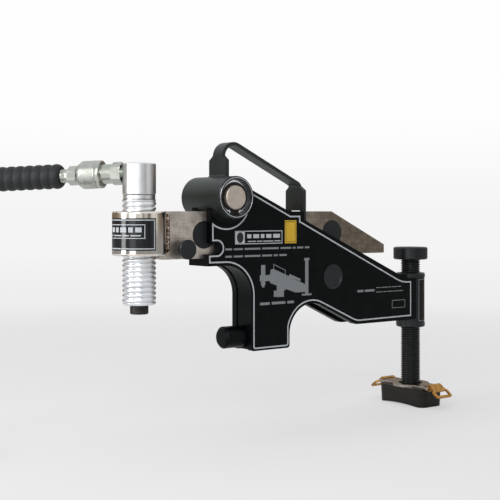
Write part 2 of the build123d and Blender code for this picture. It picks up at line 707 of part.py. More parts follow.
def coupler_sleeve():
    """Knurled locking sleeve that turns on the female half."""
    lip = MALE_RADIUS + SLIDE_GAP
    bore = SLEEVE_BORE
    profile = [(lip, sleeve_start), (SLEEVE_RADIUS - 1, sleeve_start), (SLEEVE_RADIUS, sleeve_start + 1),
               (SLEEVE_RADIUS, sleeve_end - 1), (SLEEVE_RADIUS - 1, sleeve_end), (bore, sleeve_end),
               (bore, sleeve_start + SLEEVE_LIP), (lip, sleeve_start + SLEEVE_LIP)]
    return port_place * turned(profile)


def hose_ferrule():
    """Crimped ferrule on the hose's end."""
    return port_place * drum(FERRULE_RADIUS, body_end, body_end + FERRULE_LENGTH)


def hose_grip():
    """Ribbed rubber bend restrictor over the ferrule and the hose's first stretch."""
    start = body_end + GRIP_INSET
    end = start + GRIP_LENGTH
    step = GRIP_LENGTH / GRIP_BULGES
    pocket = body_end + FERRULE_LENGTH
    foot = (GRIP_END, start)
    edges = [Polyline((0, pocket), (FERRULE_RADIUS, pocket), (FERRULE_RADIUS, start), foot)]
    for i in range(GRIP_BULGES):
        last = i == GRIP_BULGES - 1
        head = (GRIP_END, end) if last else (GRIP_VALLEY, start + (i + 1) * step)
        edges.append(ThreePointArc(foot, (GRIP_RADIUS, start + (i + 0.5) * step), head))
        foot = head
    edges.append(Polyline(foot, (0, end), (0, pocket)))
    return port_place * revolve(Plane.XZ * make_face(edges), Axis.Z)


# Hose

def hose_points():
    """Corners of the hose's run from the grip down to the coil on the ground."""
    exit_point = port_place * Pos(0, 0, grip_end)
    out_point = port_place * Pos(0, 0, grip_end + HOSE_EXIT)
    start = exit_point.position
    second = out_point.position
    route = [
        (-355.0, 233.0, 189.0), (-369.5, 253.0, 143.0), (-374.5, 259.0, 86.0), (-376.0, 255.5, 24.0),
        (-378.5, 239.0, -38.0), (-381.5, 208.0, -77.0), (-384.5, 168.0, -96.5), (-388.0, 122.0, -109.5),
    ]
    return [start, second] + [Vector(*point) for point in route]


def hose_run():
    """The uncoiled hose: straight runs joined by tangent arcs."""
    points = hose_points()
    runs = [points[i + 1] - points[i] for i in range(len(points) - 1)]
    radii = []
    for before, after in zip(runs, runs[1:]):
        half_turn = radians(before.get_angle(after)) / 2
        radii.append(0.45 * min(before.length, after.length) / tan(half_turn))
    path = FilletPolyline(*points, radius=radii)
    tube = sweep(Plane(origin=path @ 0, z_dir=path % 0) * Circle(HOSE_RADIUS), path)
    print("hose radii", [round(radius) for radius in radii])
    print("hose run length", round(path.length), "volume over section",
          round(tube.volume / (pi * HOSE_RADIUS ** 2 * path.length), 4))
    return tube


def hose_coil():
    """Outer shape of the flat coil that holds the rest of the hose."""
    top = ground_z + 2 * HOSE_RADIUS
    edge = HOSE_RADIUS * 0.6
    profile = [(COIL_INNER, ground_z + edge), (COIL_INNER + edge, ground_z), (COIL_OUTER - edge, ground_z),
               (COIL_OUTER, ground_z + edge), (COIL_OUTER, top - edge), (COIL_OUTER - edge, top),
               (COIL_INNER + edge, top), (COIL_INNER, top - edge)]
    return Pos(COIL_X, COIL_Y, 0) * turned(profile)


def end_fitting():
    """Ferrule, hexagon and nipple on the hose's far end, lying beside the coil."""
    flats = Rot(0, 0, 30) * RegularPolygon(END_HEX_ACROSS / 2, 6, major_radius=False)
    hexagon = Pos(0, 0, END_FERRULE) * extrude(flats, END_HEX_LENGTH)
    nipple_foot = END_FERRULE + END_HEX_LENGTH
    fitting = drum(END_FERRULE_RADIUS, 0, END_FERRULE) + hexagon
    return end_place * (fitting + drum(END_NIPPLE_RADIUS, nipple_foot, nipple_foot + END_NIPPLE))


def end_cap():
    """Dust cap over the far nipple."""
    foot = END_FERRULE + END_HEX_LENGTH + 0.5
    floor = END_FERRULE + END_HEX_LENGTH + END_NIPPLE
    top = foot + END_CAP
    edge = END_CAP_EDGE
    profile = [(END_NIPPLE_RADIUS, foot), (END_CAP_RADIUS, foot), (END_CAP_RADIUS, top - edge),
               (END_CAP_RADIUS - edge, top), (0, top), (0, floor), (END_NIPPLE_RADIUS, floor)]
    return end_place * turned(profile)


# Leg

def leg_boss():
    """Threaded tube that carries the leg screw, waisted between two shoulders."""
    waist = BOSS_RADIUS - BOSS_BAND_DEPTH
    edge = BOSS_EDGE
    low = BOSS_BOTTOM + BOSS_SHOULDER
    high = BOSS_TOP - BOSS_SHOULDER
    bore = SCREW_RADIUS + SCREW_FIT
    profile = [(bore, BOSS_BOTTOM), (BOSS_RADIUS - edge, BOSS_BOTTOM), (BOSS_RADIUS, BOSS_BOTTOM + edge),
               (BOSS_RADIUS, BOSS_TOP - edge), (BOSS_RADIUS - edge, BOSS_TOP), (bore, BOSS_TOP)]
    boss = leg_place * turned(profile)
    band = drum(BOSS_RADIUS + 1, low, high) - drum(waist, low - 1, high + 1)
    outside = block(BOSS_RADIUS / 3, BOSS_RADIUS + 2, -BOSS_RADIUS, BOSS_RADIUS, low, high)
    return boss - leg_place * (band & outside)


def leg_screw():
    """Long screw: a spigot for the knob, the threaded shank and a socket for the ball stud."""
    profile = [(0, SCREW_TOP + SCREW_SPIGOT), (SCREW_SPIGOT_RADIUS, SCREW_TOP + SCREW_SPIGOT),
               (SCREW_SPIGOT_RADIUS, SCREW_TOP), (SCREW_RADIUS, SCREW_TOP),
               (SCREW_RADIUS, SCREW_BOTTOM + 1), (SCREW_RADIUS - 1, SCREW_BOTTOM),
               (STUD_RADIUS + FIT, SCREW_BOTTOM), (STUD_RADIUS + FIT, SCREW_BOTTOM + STUD_DEPTH + 0.3),
               (0, SCREW_BOTTOM + STUD_DEPTH + 0.3)]
    return leg_place * turned(profile)


def leg_knob():
    """Round head that the hand turns."""
    edge = KNOB_EDGE
    top = SCREW_TOP + KNOB_HEIGHT
    profile = [(SCREW_SPIGOT_RADIUS, SCREW_TOP), (KNOB_RADIUS - edge, SCREW_TOP),
               (KNOB_RADIUS, SCREW_TOP + edge), (KNOB_RADIUS, top - edge), (KNOB_RADIUS - edge, top), (0, top),
               (0, SCREW_TOP + SCREW_SPIGOT), (SCREW_SPIGOT_RADIUS, SCREW_TOP + SCREW_SPIGOT)]
    return leg_place * turned(profile)


def ball_stud():
    """Ball under the screw on a stud that turns in the screw's end."""
    ball = Pos(LEG_X, 0, BALL_Z) * Sphere(BALL_RADIUS)
    return ball + leg_place * drum(STUD_RADIUS, BALL_Z, SCREW_BOTTOM + STUD_DEPTH)


def ball_shell(inner, outer, low, high):
    """Slice of a round shell about the ball's centre, between two heights over it."""
    shell = (Sphere(outer) - Sphere(inner)) & drum(outer + 1, low, high)
    return Pos(LEG_X, 0, BALL_Z) * shell


def ball_cup():
    """Low-friction cup between the ball and the foot."""
    inner = BALL_RADIUS + FIT
    return ball_shell(inner, inner + CUP_WALL, -inner - CUP_WALL - 1, CUP_TOP)


def foot_plate():
    """Plated steel plate: round middle over a cup housing, an ear with a slot at each end."""
    top = FOOT_PLATE_TOP
    low = top - FOOT_PLATE_THICK
    dome_low = BALL_Z - cavity - DOME_WALL
    ear_end = EAR_BAR_Y
    plate = drum(FOOT_PLATE_RADIUS, low, top)
    ears = block(-EAR_HALF_WIDTH, EAR_HALF_WIDTH, -ear_end, ear_end, low, top)
    slot_inner = EAR_BAR_Y - EAR_BAR_RADIUS - EAR_SLOT
    bridge = block(-EAR_SLOT_HALF, EAR_SLOT_HALF, slot_inner, ear_end + 1, low - 1, top + 1)
    for sign in (1, -1):
        cut = bridge if sign > 0 else mirror(bridge, Plane.XZ)
        ears -= cut
        bar = Rot(0, 90, 0) * Cylinder(EAR_BAR_RADIUS, 2 * EAR_HALF_WIDTH)
        ears += Pos(0, sign * EAR_BAR_Y, (top + low) / 2) * bar
    dome = drum(DOME_RADIUS, dome_low, low)
    plate = plate + ears + dome
    plate -= drum(FOOT_HOLE, BALL_Z, top + 1)
    plate -= Pos(0, 0, BALL_Z) * Sphere(cavity)
    return leg_place * plate


def foot_retainer():
    """Ring in the plate's hole that keeps the cup and the ball in."""
    high = RETAINER_TOP
    mouth = sqrt(cavity ** 2 - CUP_TOP ** 2)
    slope_top = mouth + RETAINER_SLOPE
    profile = [(cavity, 0), (FOOT_HOLE, 0), (FOOT_HOLE, high), (slope_top, high),
               (mouth - RETAINER_LIP, CUP_TOP + RETAINER_LIP)]
    ring = turned(profile) - Sphere(cavity)
    return Pos(LEG_X, 0, BALL_Z) * ring.solids().sort_by(SortBy.VOLUME)[-1]


def foot_pad():
    """Rubber block with round corners, a hollow underside for a pipe and room for the hooks."""
    top = FOOT_PLATE_TOP - FOOT_PLATE_THICK
    low = top - PAD_HEIGHT
    inset = 2 * PAD_FOOT_INSET
    foot = RectangleRounded(PAD_WIDTH - inset, PAD_LENGTH - inset, PAD_CORNER - PAD_FOOT_INSET)
    head = RectangleRounded(PAD_WIDTH, PAD_LENGTH, PAD_CORNER)
    pad = loft([Plane.XY.offset(low) * foot, Plane.XY.offset(top) * head])
    hollow = Cylinder(PAD_SADDLE_RADIUS + SADDLE_RISE, PAD_WIDTH * 2)
    pad -= Pos(0, 0, low - PAD_SADDLE_RADIUS) * Rot(0, 90, 0) * hollow
    pad -= drum(DOME_RADIUS + SLIDE_GAP, BALL_Z - cavity - DOME_WALL - 0.5, top + 1)
    relief = Rot(0, 90, 0) * Cylinder(PAD_RELIEF, PAD_WIDTH + 2)
    for y in (-EAR_BAR_Y, EAR_BAR_Y):
        pad -= Pos(0, y, FOOT_PLATE_TOP - FOOT_PLATE_THICK / 2) * relief
    return leg_place * pad


def strap_hook(front):
    """Bent hook that clips round the ear's bar and holds a strap in its slot."""
    inner = HOOK_CURL
    outer = HOOK_CURL + HOOK_THICK
    ring = drum(outer, -HOOK_WIDTH / 2, HOOK_WIDTH / 2) - drum(inner, -HOOK_WIDTH, HOOK_WIDTH)
    mouth = block(-outer - 1, -HOOK_MOUTH, -outer - 1, 0, -HOOK_WIDTH, HOOK_WIDTH)
    curl = ring - mouth
    narrow = HOOK_WIDTH / 2
    wide = HOOK_FOOT_WIDTH / 2
    flare = HOOK_NECK + HOOK_FLARE
    outline = Polyline((0, -narrow), (HOOK_NECK, -narrow), (flare, -wide), (HOOK_LEAF, -wide),
                       (HOOK_LEAF, wide), (flare, wide), (HOOK_NECK, narrow), (0, narrow), close=True)
    leaf = slab(make_face(outline), inner, outer)
    slot_end = HOOK_LEAF - HOOK_END_BAR
    leaf -= block(slot_end - HOOK_SLOT, slot_end, inner - 1, outer + 1, -HOOK_SLOT_HALF, HOOK_SLOT_HALF)
    leaf = fillet(leaf.edges().filter_by(Axis.Y).group_by(Axis.X)[-1], HOOK_ROUND)
    height = FOOT_PLATE_TOP - FOOT_PLATE_THICK / 2
    hook = Pos(0, EAR_BAR_Y, height) * Plane.YZ.location * Rot(0, 0, -HOOK_TILT) * (curl + leaf)
    return leg_place * (mirror(hook, Plane.XZ) if front else hook)


nodes = {
    "side_plate_front": side_plate(True),
    "side_plate_rear": side_plate(False),
    "guide_plate": guide_plate(),
    "hook_column": hook_column(),
    "roller_tube": roller_tube(),
    "tube_weld_front": tube_weld(True),
    "tube_weld_rear": tube_weld(False),
    "tube_bush_front": mirror(tube_bush(), Plane.XZ),
    "tube_bush_rear": tube_bush(),
    "circlip_front": mirror(circlip(), Plane.XZ),
    "circlip_rear": circlip(),
    "roller_pin": roller_pin(),
    "rear_axle": rear_axle(),
    "rear_roller": rear_roller(),
    "leg_boss": leg_boss(),
    "boss_weld_front": boss_weld(True),
    "boss_weld_rear": boss_weld(False),
    "handle": handle(),
    "wing_bar": wing_bar(),
    "slide_disc_nose_front": slide_disc(disc_x[0], True),
    "slide_disc_nose_rear": slide_disc(disc_x[0], False),
    "slide_disc_tail_front": slide_disc(disc_x[1], True),
    "slide_disc_tail_rear": slide_disc(disc_x[1], False),
    "stop_pin": stop_pin(),
    "cylinder_collar": cylinder_collar(),
    "collar_weld": collar_weld(),
    "rod_wiper": rod_wiper(),
    "cylinder_barrel": cylinder_barrel(),
    "cylinder_cap": cylinder_cap(),
    "return_spring": return_spring(),
    "plunger": plunger(),
    "piston_seal": piston_seal(),
    "male_coupler": male_coupler(),
    "coupler_body": coupler_body(),
    "coupler_sleeve": coupler_sleeve(),
    "hose_ferrule": hose_ferrule(),
    "hose_grip": hose_grip(),
    "hose_run": hose_run(),
    "hose_coil": hose_coil(),
    "end_fitting": end_fitting(),
    "end_cap": end_cap(),
    "leg_screw": leg_screw(),
    "leg_knob": leg_knob(),
    "ball_stud": ball_stud(),
    "ball_cup": ball_cup(),
    "foot_plate": foot_plate(),
    "foot_retainer": foot_retainer(),
    "foot_pad": foot_pad(),
    "strap_hook_front": strap_hook(True),
    "strap_hook_rear": strap_hook(False),
}

os.makedirs("parts", exist_ok=True)
for name, solid in nodes.items():
    export_step(solid, f"parts/{name}.step")
    box = solid.bounding_box()
    print(name, len(solid.solids()), [round(v, 1) for v in (*box.min, *box.max)])
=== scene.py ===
# %% [markdown]
# # A flange alignment tool, dressed in Blender
# The tool brings two parts of a bolted joint into line: a finger holds it in a bolt hole, a leg
# carries its tail, and a small hydraulic cylinder on a sliding arm presses down. Its frame, its
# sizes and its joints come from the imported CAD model. This script gives each surface its finish,
# and adds what a CAD model leaves out: threads, a knurl, weld beads, printed lines and the hose.

# %% Load the frame
import json
import math

import bmesh
import bpy
import numpy as np
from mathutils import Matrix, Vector


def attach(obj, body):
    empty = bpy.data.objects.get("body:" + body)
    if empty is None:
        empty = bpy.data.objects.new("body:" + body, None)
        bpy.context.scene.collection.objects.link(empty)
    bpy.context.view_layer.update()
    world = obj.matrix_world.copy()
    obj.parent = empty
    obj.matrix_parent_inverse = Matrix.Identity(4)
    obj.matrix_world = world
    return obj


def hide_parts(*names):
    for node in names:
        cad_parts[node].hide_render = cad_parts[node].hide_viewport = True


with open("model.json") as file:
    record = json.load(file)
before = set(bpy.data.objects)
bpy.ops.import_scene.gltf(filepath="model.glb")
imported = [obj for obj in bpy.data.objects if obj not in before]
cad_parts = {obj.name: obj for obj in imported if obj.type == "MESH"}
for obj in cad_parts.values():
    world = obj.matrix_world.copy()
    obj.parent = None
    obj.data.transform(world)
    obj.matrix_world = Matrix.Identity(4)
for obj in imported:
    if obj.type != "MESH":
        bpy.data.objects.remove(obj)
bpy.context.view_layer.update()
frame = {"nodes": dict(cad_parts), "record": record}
nodes = frame["nodes"]
MM = 0.001

# %% [markdown]
# ## The camera
# The photograph was taken level, from the tool's front left, with a long lens. Its place was
# worked out from edges of known direction, so the tool falls on the same pixels here. The
# camera stays level and its frame is shifted down, which keeps upright edges upright.

# %% Make the camera
EYE = (-0.8606, -1.161, 0.172)
VIEW_TURN = 37.0
lens = bpy.data.cameras.new("level_camera")
lens.lens = 75.4
lens.sensor_width = 36.0
lens.shift_y = -0.0774
lens.clip_start = 0.05
lens.clip_end = 50.0
camera = bpy.data.objects.new("level_camera", lens)
camera.location = EYE
camera.rotation_euler = (math.radians(90), 0, math.radians(-VIEW_TURN))
bpy.context.scene.collection.objects.link(camera)
bpy.context.scene.camera = camera
print("camera at", EYE)

# %% [markdown]
# ## The hose
# A two-metre rubber hose joins the cylinder to its hand pump. It comes straight out of its
# grip, hangs down under its own weight, and the rest lies coiled on the floor. A tube swept
# along arcs would look like bent wire, so the line is one NURBS spline: it passes smoothly
# inside its control points, as a stiff hose passes inside the corners of its route.

# %% The route of the hose
CYLINDER_X = -164.0
PORT_Z = 222.0
PORT_HEADING = math.radians(129)
PORT_DROOP = math.radians(2.2)
GRIP_END = 224.8
HOSE_OUT = 40.0
HOSE_RADIUS = 6.5
GROUND = -128.0
port_line = np.array([math.cos(PORT_HEADING) * math.cos(PORT_DROOP),
                      math.sin(PORT_HEADING) * math.cos(PORT_DROOP), -math.sin(PORT_DROOP)])
port_start = np.array([CYLINDER_X, 0.0, PORT_Z])
route = [port_start + port_line * GRIP_END, port_start + port_line * (GRIP_END + HOSE_OUT)]
route += [(-355.0, 233.0, 189.0), (-369.5, 253.0, 143.0), (-374.5, 259.0, 86.0), (-376.0, 255.5, 24.0),
          (-378.5, 239.0, -38.0), (-381.5, 208.0, -77.0), (-384.5, 168.0, -96.5), (-388.0, 122.0, -109.5)]
print("hose leaves the grip at", [round(float(v), 1) for v in route[0]])

# %% The coil: control points of a flat spiral, clockwise from above
COIL_CENTRE = (-446.0, 100.0)
COIL_START = 56.0
COIL_END = 99.2
COIL_TURNS = 3.25
POINTS_PER_TURN = 16
# A quadratic spline runs this share inside the points of a circle.
spline_share = 0.75 + 0.25 * math.cos(2 * math.pi / POINTS_PER_TURN)
lie = GROUND + HOSE_RADIUS
steps = int(COIL_TURNS * POINTS_PER_TURN)
for step in range(steps + 1):
    turn = -2 * math.pi * step / POINTS_PER_TURN
    radius = (COIL_START + (COIL_END - COIL_START) * step / steps) / spline_share
    drop = 4.0 if step == 0 else 0.0
    route.append((COIL_CENTRE[0] + radius * math.cos(turn),
                  COIL_CENTRE[1] + radius * math.sin(turn), lie + drop))
route += [(-462.0, 0.8, lie + 1.0), (-474.0, 0.8, GROUND + 12.0), (-487.2, 0.8, GROUND + 12.0)]
print("control points of the hose", len(route))

# %% Make the hose
hose_curve = bpy.data.curves.new("hose", "CURVE")
hose_curve.dimensions = "3D"
hose_line = hose_curve.splines.new("NURBS")
hose_line.points.add(len(route) - 1)
hose_line.points.foreach_set("co", np.hstack([np.array(route) * MM, np.ones((len(route), 1))]).ravel())
hose_line.order_u = 3
hose_line.use_endpoint_u = True
hose_line.points.foreach_set("radius", np.full(len(route), HOSE_RADIUS * MM))
hose_line.resolution_u = 8
hose_curve.bevel_depth = 1.0
hose_curve.bevel_resolution = 5
hose_curve.use_fill_caps = True
hose = bpy.data.objects.new("hose", hose_curve)
bpy.context.scene.collection.objects.link(hose)
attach(hose, "cylinder")
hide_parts("hose_run", "hose_coil")

# %% [markdown]
# ## The studio
# The photograph has a pale seamless backdrop, a big soft lamp at the front left, a bright window
# on the left and a darker room at the front right. A black glossy plate looks black only when it
# mirrors something dark, so that dark side of the room matters as much as the lamps do.

# %% Colours and nodes
def linear(code):
    """An sRGB hex colour in linear light: value / 12.92 near black, else ((value + 0.055) / 1.055) ** 2.4."""
    share = np.array([int(code[i:i + 2], 16) for i in (1, 3, 5)]) / 255
    light = np.where(share <= 0.04045, share / 12.92, ((share + 0.055) / 1.055) ** 2.4)
    return (*light.tolist(), 1.0)


def add(tree, kind, inputs=None, out=0, stops=(), **settings):
    """Add one node with its settings, feed its inputs and give the output that the next node reads."""
    made = tree.nodes.new("ShaderNode" + kind)
    for key, value in settings.items():
        setattr(made, key, value)
    line = made.color_ramp.elements if stops else ()
    for position, code in stops[len(line):]:
        line.new(position)
    for element, (position, code) in zip(line, stops):
        element.position = position
        element.color = linear(code)
    for key, value in (inputs or {}).items():
        if isinstance(value, bpy.types.NodeSocket):
            tree.links.new(value, made.inputs[key])
        else:
            made.inputs[key].default_value = value
    return made.outputs[out] if len(made.outputs) else made


print("white", [round(v, 2) for v in linear("#ffffff")])

# %% [markdown]
# ### Backdrop
# Camera, mirror and glass rays see the backdrop, from light grey at the horizon to white overhead.
# Mirror rays also see the room: a bright wall at the left front, dark window bars, a second bright
# strip at the right front, brown walls behind and a white ceiling. The walls are a ramp by compass heading, because the
# shine of a round metal part is a picture of the room, squeezed sideways. All other rays meet an
# even white sky of less than half strength, which is the fill light.

# %% World
world = bpy.data.worlds.new("studio")
bpy.context.scene.world = world
world.use_nodes = True
sky = world.node_tree
sky.nodes.clear()
heading = add(sky, "TexCoord", out="Generated")
rise = add(sky, "SeparateXYZ", {0: heading}, out="Z")
lift = add(sky, "MapRange", {"Value": rise, "From Min": 0.0, "From Max": 0.09})
backdrop = add(sky, "ValToRGB", {0: lift}, stops=[(0.0, "#f4f4f4"), (1.0, "#fefefe")])
east = rise.node.outputs["X"]
north = rise.node.outputs["Y"]
compass = add(sky, "Math", {0: north, 1: east}, operation="ARCTAN2")
compass = add(sky, "MapRange", {"Value": compass, "From Min": -math.pi, "From Max": math.pi})
ROOM = [(-180, "#ffffff"), (-171, "#dcdad8"), (-158, "#ffffff"), (-120, "#ffffff"), (-111, "#ffffff"),
        (-104, "#8d887f"), (-98, "#d9d6cf"), (-88, "#cfccc4"), (-78, "#514b42"), (-69, "#e0ddd6"),
        (-56, "#ffffff"), (-42, "#e6e3dc"), (-30, "#9b907f"), (-18, "#85776a"), (30, "#7a6d5e"),
        (100, "#8a7966"), (142, "#a5937f"), (156, "#e9e2da"), (170, "#ffffff")]
room = add(sky, "ValToRGB", {0: compass}, stops=[((turn + 180) / 360, code) for turn, code in ROOM])
camera_ray = add(sky, "LightPath", out="Is Camera Ray")
mirror_ray = camera_ray.node.outputs["Is Glossy Ray"]
glass_ray = camera_ray.node.outputs["Is Transmission Ray"]
ceiling = add(sky, "MapRange", {"Value": rise, "From Min": 0.18, "From Max": 0.42},
              interpolation_type="SMOOTHSTEP")
room = add(sky, "Mix", {0: ceiling, 6: room, 7: linear("#fafcfe")}, out=2, data_type="RGBA")
mirrored = add(sky, "Mix", {0: 1.0, 6: backdrop, 7: room}, out=2, data_type="RGBA", blend_type="MULTIPLY")
shown = add(sky, "Mix", {0: mirror_ray, 6: backdrop, 7: mirrored}, out=2, data_type="RGBA")
shown = add(sky, "Background", {"Color": shown, "Strength": 1.0})
lit = add(sky, "Background", {"Color": linear("#ffffff"), "Strength": 0.42})
sees = add(sky, "Math", {0: camera_ray, 1: mirror_ray}, operation="ADD")
sees = add(sky, "Math", {0: sees, 1: glass_ray}, operation="ADD", use_clamp=True)
both = add(sky, "MixShader", {0: sees, 1: lit, 2: shown})
add(sky, "OutputWorld", {"Surface": both})
print("world nodes", len(sky.nodes))

# %% [markdown]
# ### Floor
# A matt sheet that runs far back. It shows the object's shadow near by, and further off it turns
# into the backdrop's own colour, so no horizon is seen.

# %% Floor
FLOOR_HALF = 12.0
floor_mesh = bpy.data.meshes.new("floor")
floor_mesh.from_pydata([(-FLOOR_HALF, -FLOOR_HALF, GROUND * MM), (FLOOR_HALF, -FLOOR_HALF, GROUND * MM),
                        (FLOOR_HALF, FLOOR_HALF, GROUND * MM), (-FLOOR_HALF, FLOOR_HALF, GROUND * MM)],
                       [], [(0, 1, 2, 3)])
floor = bpy.data.objects.new("floor", floor_mesh)
bpy.context.scene.collection.objects.link(floor)
floor_paint = bpy.data.materials.new("matt_paper_floor")
floor_paint.use_nodes = True
tree = floor_paint.node_tree
tree.nodes.clear()
place = add(tree, "TexCoord", out="Object")
away = add(tree, "VectorMath", {0: place}, out="Value", operation="LENGTH")
far = add(tree, "MapRange", {"Value": away, "From Min": 0.5, "From Max": 6.0})
paper = add(tree, "ValToRGB", {0: far}, stops=[(0.0, "#e3e3e4"), (0.1, "#e6e6e7"), (0.3, "#eeeeee"), (1.0, "#f4f4f4")])
steady = add(tree, "MapRange", {"Value": away, "From Min": 0.4, "From Max": 2.0, "To Min": 0.6, "To Max": 1.0})
camera_ray = add(tree, "LightPath", out="Is Camera Ray")
share = add(tree, "Math", {0: camera_ray, 1: steady}, operation="MULTIPLY")
matt = add(tree, "BsdfDiffuse", {"Color": linear("#e9e9ea")})
glow = add(tree, "Emission", {"Color": paper, "Strength": 1.0})
mixed = add(tree, "MixShader", {0: share, 1: matt, 2: glow})
add(tree, "OutputMaterial", {"Surface": mixed})
floor_mesh.materials.append(floor_paint)
print("floor at", GROUND, "mm")

# %% [markdown]
# ### Lamps
# Four soft lamps: the key from the upper front left, a tall window on the left that runs down
# every bright or glossy cylinder as a streak, a weak fill between the two, and a wide one overhead.
# The overhead lamp isn't mirrored: the white ceiling is, which is softer.

# %% Lamps
AIM = Vector((0.05, 0.0, 0.06))
LAMPS = [
    ("key_softbox", (-1.45, -1.35, 1.2), 1.0, 1.0, 17.0),
    ("left_window", (-1.9, 0.3, 0.45), 0.62, 1.6, 22.0),
    ("left_fill", (-2.3, -1.3, 0.5), 1.2, 1.2, 6.0),
    ("top_softbox", (0.1, 0.4, 1.9), 2.4, 2.0, 19.0),
]
for name, place, width, height, power in LAMPS:
    data = bpy.data.lights.new(name, "AREA")
    data.shape = "RECTANGLE"
    data.size = width
    data.size_y = height
    data.energy = power
    lamp = bpy.data.objects.new(name, data)
    lamp.location = place
    lamp.rotation_euler = (AIM - Vector(place)).to_track_quat("-Z", "Y").to_euler()
    lamp.visible_glossy = name != "top_softbox"
    bpy.context.scene.collection.objects.link(lamp)
print("lamps", len(LAMPS))

# %% [markdown]
# ## Finishes
# Each finish starts from what the real one is. Object coordinates are metres in the tool's own
# frame, so a noise scale is one over the real size of the grain. Small relief goes through a
# Bump node whose distance is the real height.

# %% A new material
PER_MM = 1000.0
TUBE_HALF = 45.5
finishes = {}


def material(name, slot):
    """Start a material for one slot of the record: gives its node tree and the object coordinates."""
    made = bpy.data.materials.new(name)
    made.use_nodes = True
    made.node_tree.nodes.clear()
    finishes[slot] = made
    return made.node_tree, add(made.node_tree, "TexCoord", out="Object")


print("millimetres to a metre", PER_MM)

# %% [markdown]
# ### Paints
# The frame is powder coated: a thick, even black skin with a gentle orange peel about two
# millimetres across. The tube and the handle have a thinner satin coat, greyer and finer.

# %% Black powder coat: nearly black, with soft wide reflections
tree, place = material("black_powder_coat", "black_paint")
peel = add(tree, "TexNoise", {"Vector": place, "Scale": PER_MM / 2.2})
dust = add(tree, "TexNoise", {"Vector": place, "Scale": PER_MM / 16.0, "Detail": 5.0})
shade = add(tree, "ValToRGB", {0: dust}, stops=[(0.35, "#050708"), (0.75, "#0a0d0e")])
gloss = add(tree, "MapRange", {"Value": dust, "To Min": 0.24, "To Max": 0.40})
relief = add(tree, "Bump", {"Height": peel, "Distance": 0.02 * MM})
skin = add(tree, "BsdfPrincipled", {"Base Color": shade, "Roughness": gloss, "Normal": relief,
                                    "Specular IOR Level": 0.07})
add(tree, "OutputMaterial", {"Surface": skin})

# %% Satin grey paint: dark grey, brighter where light falls along it; glossy black on the tube's turned ends
tree, place = material("satin_grey_paint", "grey_paint")
cloud = add(tree, "TexNoise", {"Vector": place, "Scale": PER_MM / 30.0, "Detail": 4.0})
fine = add(tree, "TexNoise", {"Vector": place, "Scale": PER_MM / 0.9})
across = add(tree, "SeparateXYZ", {0: place}, out="Y")
across = add(tree, "Math", {0: across}, operation="ABSOLUTE")
turned_end = add(tree, "MapRange", {"Value": across, "From Min": TUBE_HALF * MM - 0.0008,
                                    "From Max": TUBE_HALF * MM - 0.0004})
shade = add(tree, "ValToRGB", {0: cloud}, stops=[(0.3, "#1a1f1f"), (0.7, "#232826")])
shade = add(tree, "Mix", {0: turned_end, 6: shade, 7: linear("#0d1114")}, out=2, data_type="RGBA")
gloss = add(tree, "MapRange", {"Value": cloud, "To Min": 0.36, "To Max": 0.48})
gloss = add(tree, "Mix", {0: turned_end, 2: gloss, 3: 0.16})
relief = add(tree, "Bump", {"Height": fine, "Distance": 0.015 * MM})
skin = add(tree, "BsdfPrincipled", {"Base Color": shade, "Roughness": gloss, "Normal": relief,
                                    "Specular IOR Level": 0.30})
add(tree, "OutputMaterial", {"Surface": skin})
print("paints", len(finishes))

# %% [markdown]
# ### Plated metals
# The arm is nickel over a ground surface: fine marks cross each other. Towards the tail, where it
# runs between the side plates, its colour is painted darker and browner: painted shade. The cylinder
# is turned steel under zinc, silvery and satin. The coupler is the same zinc, a little yellow, and
# the two swinging hooks are yellow zinc.

# %% Ground nickel plate: pale warm metal with a woven look from crossing marks
tree, place = material("ground_nickel_plate", "nickel_plate")
upright = add(tree, "Mapping", {"Vector": place, "Scale": (1.0, 1.0, 0.06)})
level = add(tree, "Mapping", {"Vector": place, "Scale": (0.06, 0.06, 1.0)})
upright = add(tree, "TexNoise", {"Vector": upright, "Scale": PER_MM / 1.1})
level = add(tree, "TexNoise", {"Vector": level, "Scale": PER_MM / 1.3})
marks = add(tree, "Math", {0: upright, 1: level}, operation="ADD")
stain = add(tree, "TexNoise", {"Vector": place, "Scale": PER_MM / 9.0, "Detail": 6.0})
along = add(tree, "SeparateXYZ", {0: place}, out="X")
# Painted shade: from x = -50 mm to 160 mm, where the arm runs between the side plates, the colour turns to a darker
# brown.
shade_towards_tail = add(tree, "MapRange", {"Value": along, "From Min": -0.05, "From Max": 0.16})
worn = add(tree, "MapRange", {"Value": marks, "From Min": 0.75, "From Max": 1.25, "To Min": -0.16, "To Max": 0.16})
tone = add(tree, "Math", {0: stain, 1: worn}, operation="ADD")
pale = add(tree, "ValToRGB", {0: tone}, stops=[(0.2, "#958d84"), (0.5, "#b4aca3"), (0.8, "#ccc6bd")])
# The darker, browner colour of that painted shade, with the same marks and stains.
shaded_brown = add(tree, "ValToRGB", {0: tone}, stops=[(0.2, "#5c5349"), (0.5, "#6f6559"), (0.8, "#857b6f")])
shade = add(tree, "Mix", {0: shade_towards_tail, 6: pale, 7: shaded_brown}, out=2, data_type="RGBA")
gloss = add(tree, "MapRange", {"Value": tone, "From Min": 0.3, "From Max": 0.7, "To Min": 0.42, "To Max": 0.30})
relief = add(tree, "Bump", {"Height": marks, "Distance": 0.02 * MM})
skin = add(tree, "BsdfPrincipled", {"Base Color": shade, "Roughness": gloss, "Normal": relief, "Metallic": 0.9})
add(tree, "OutputMaterial", {"Surface": skin})

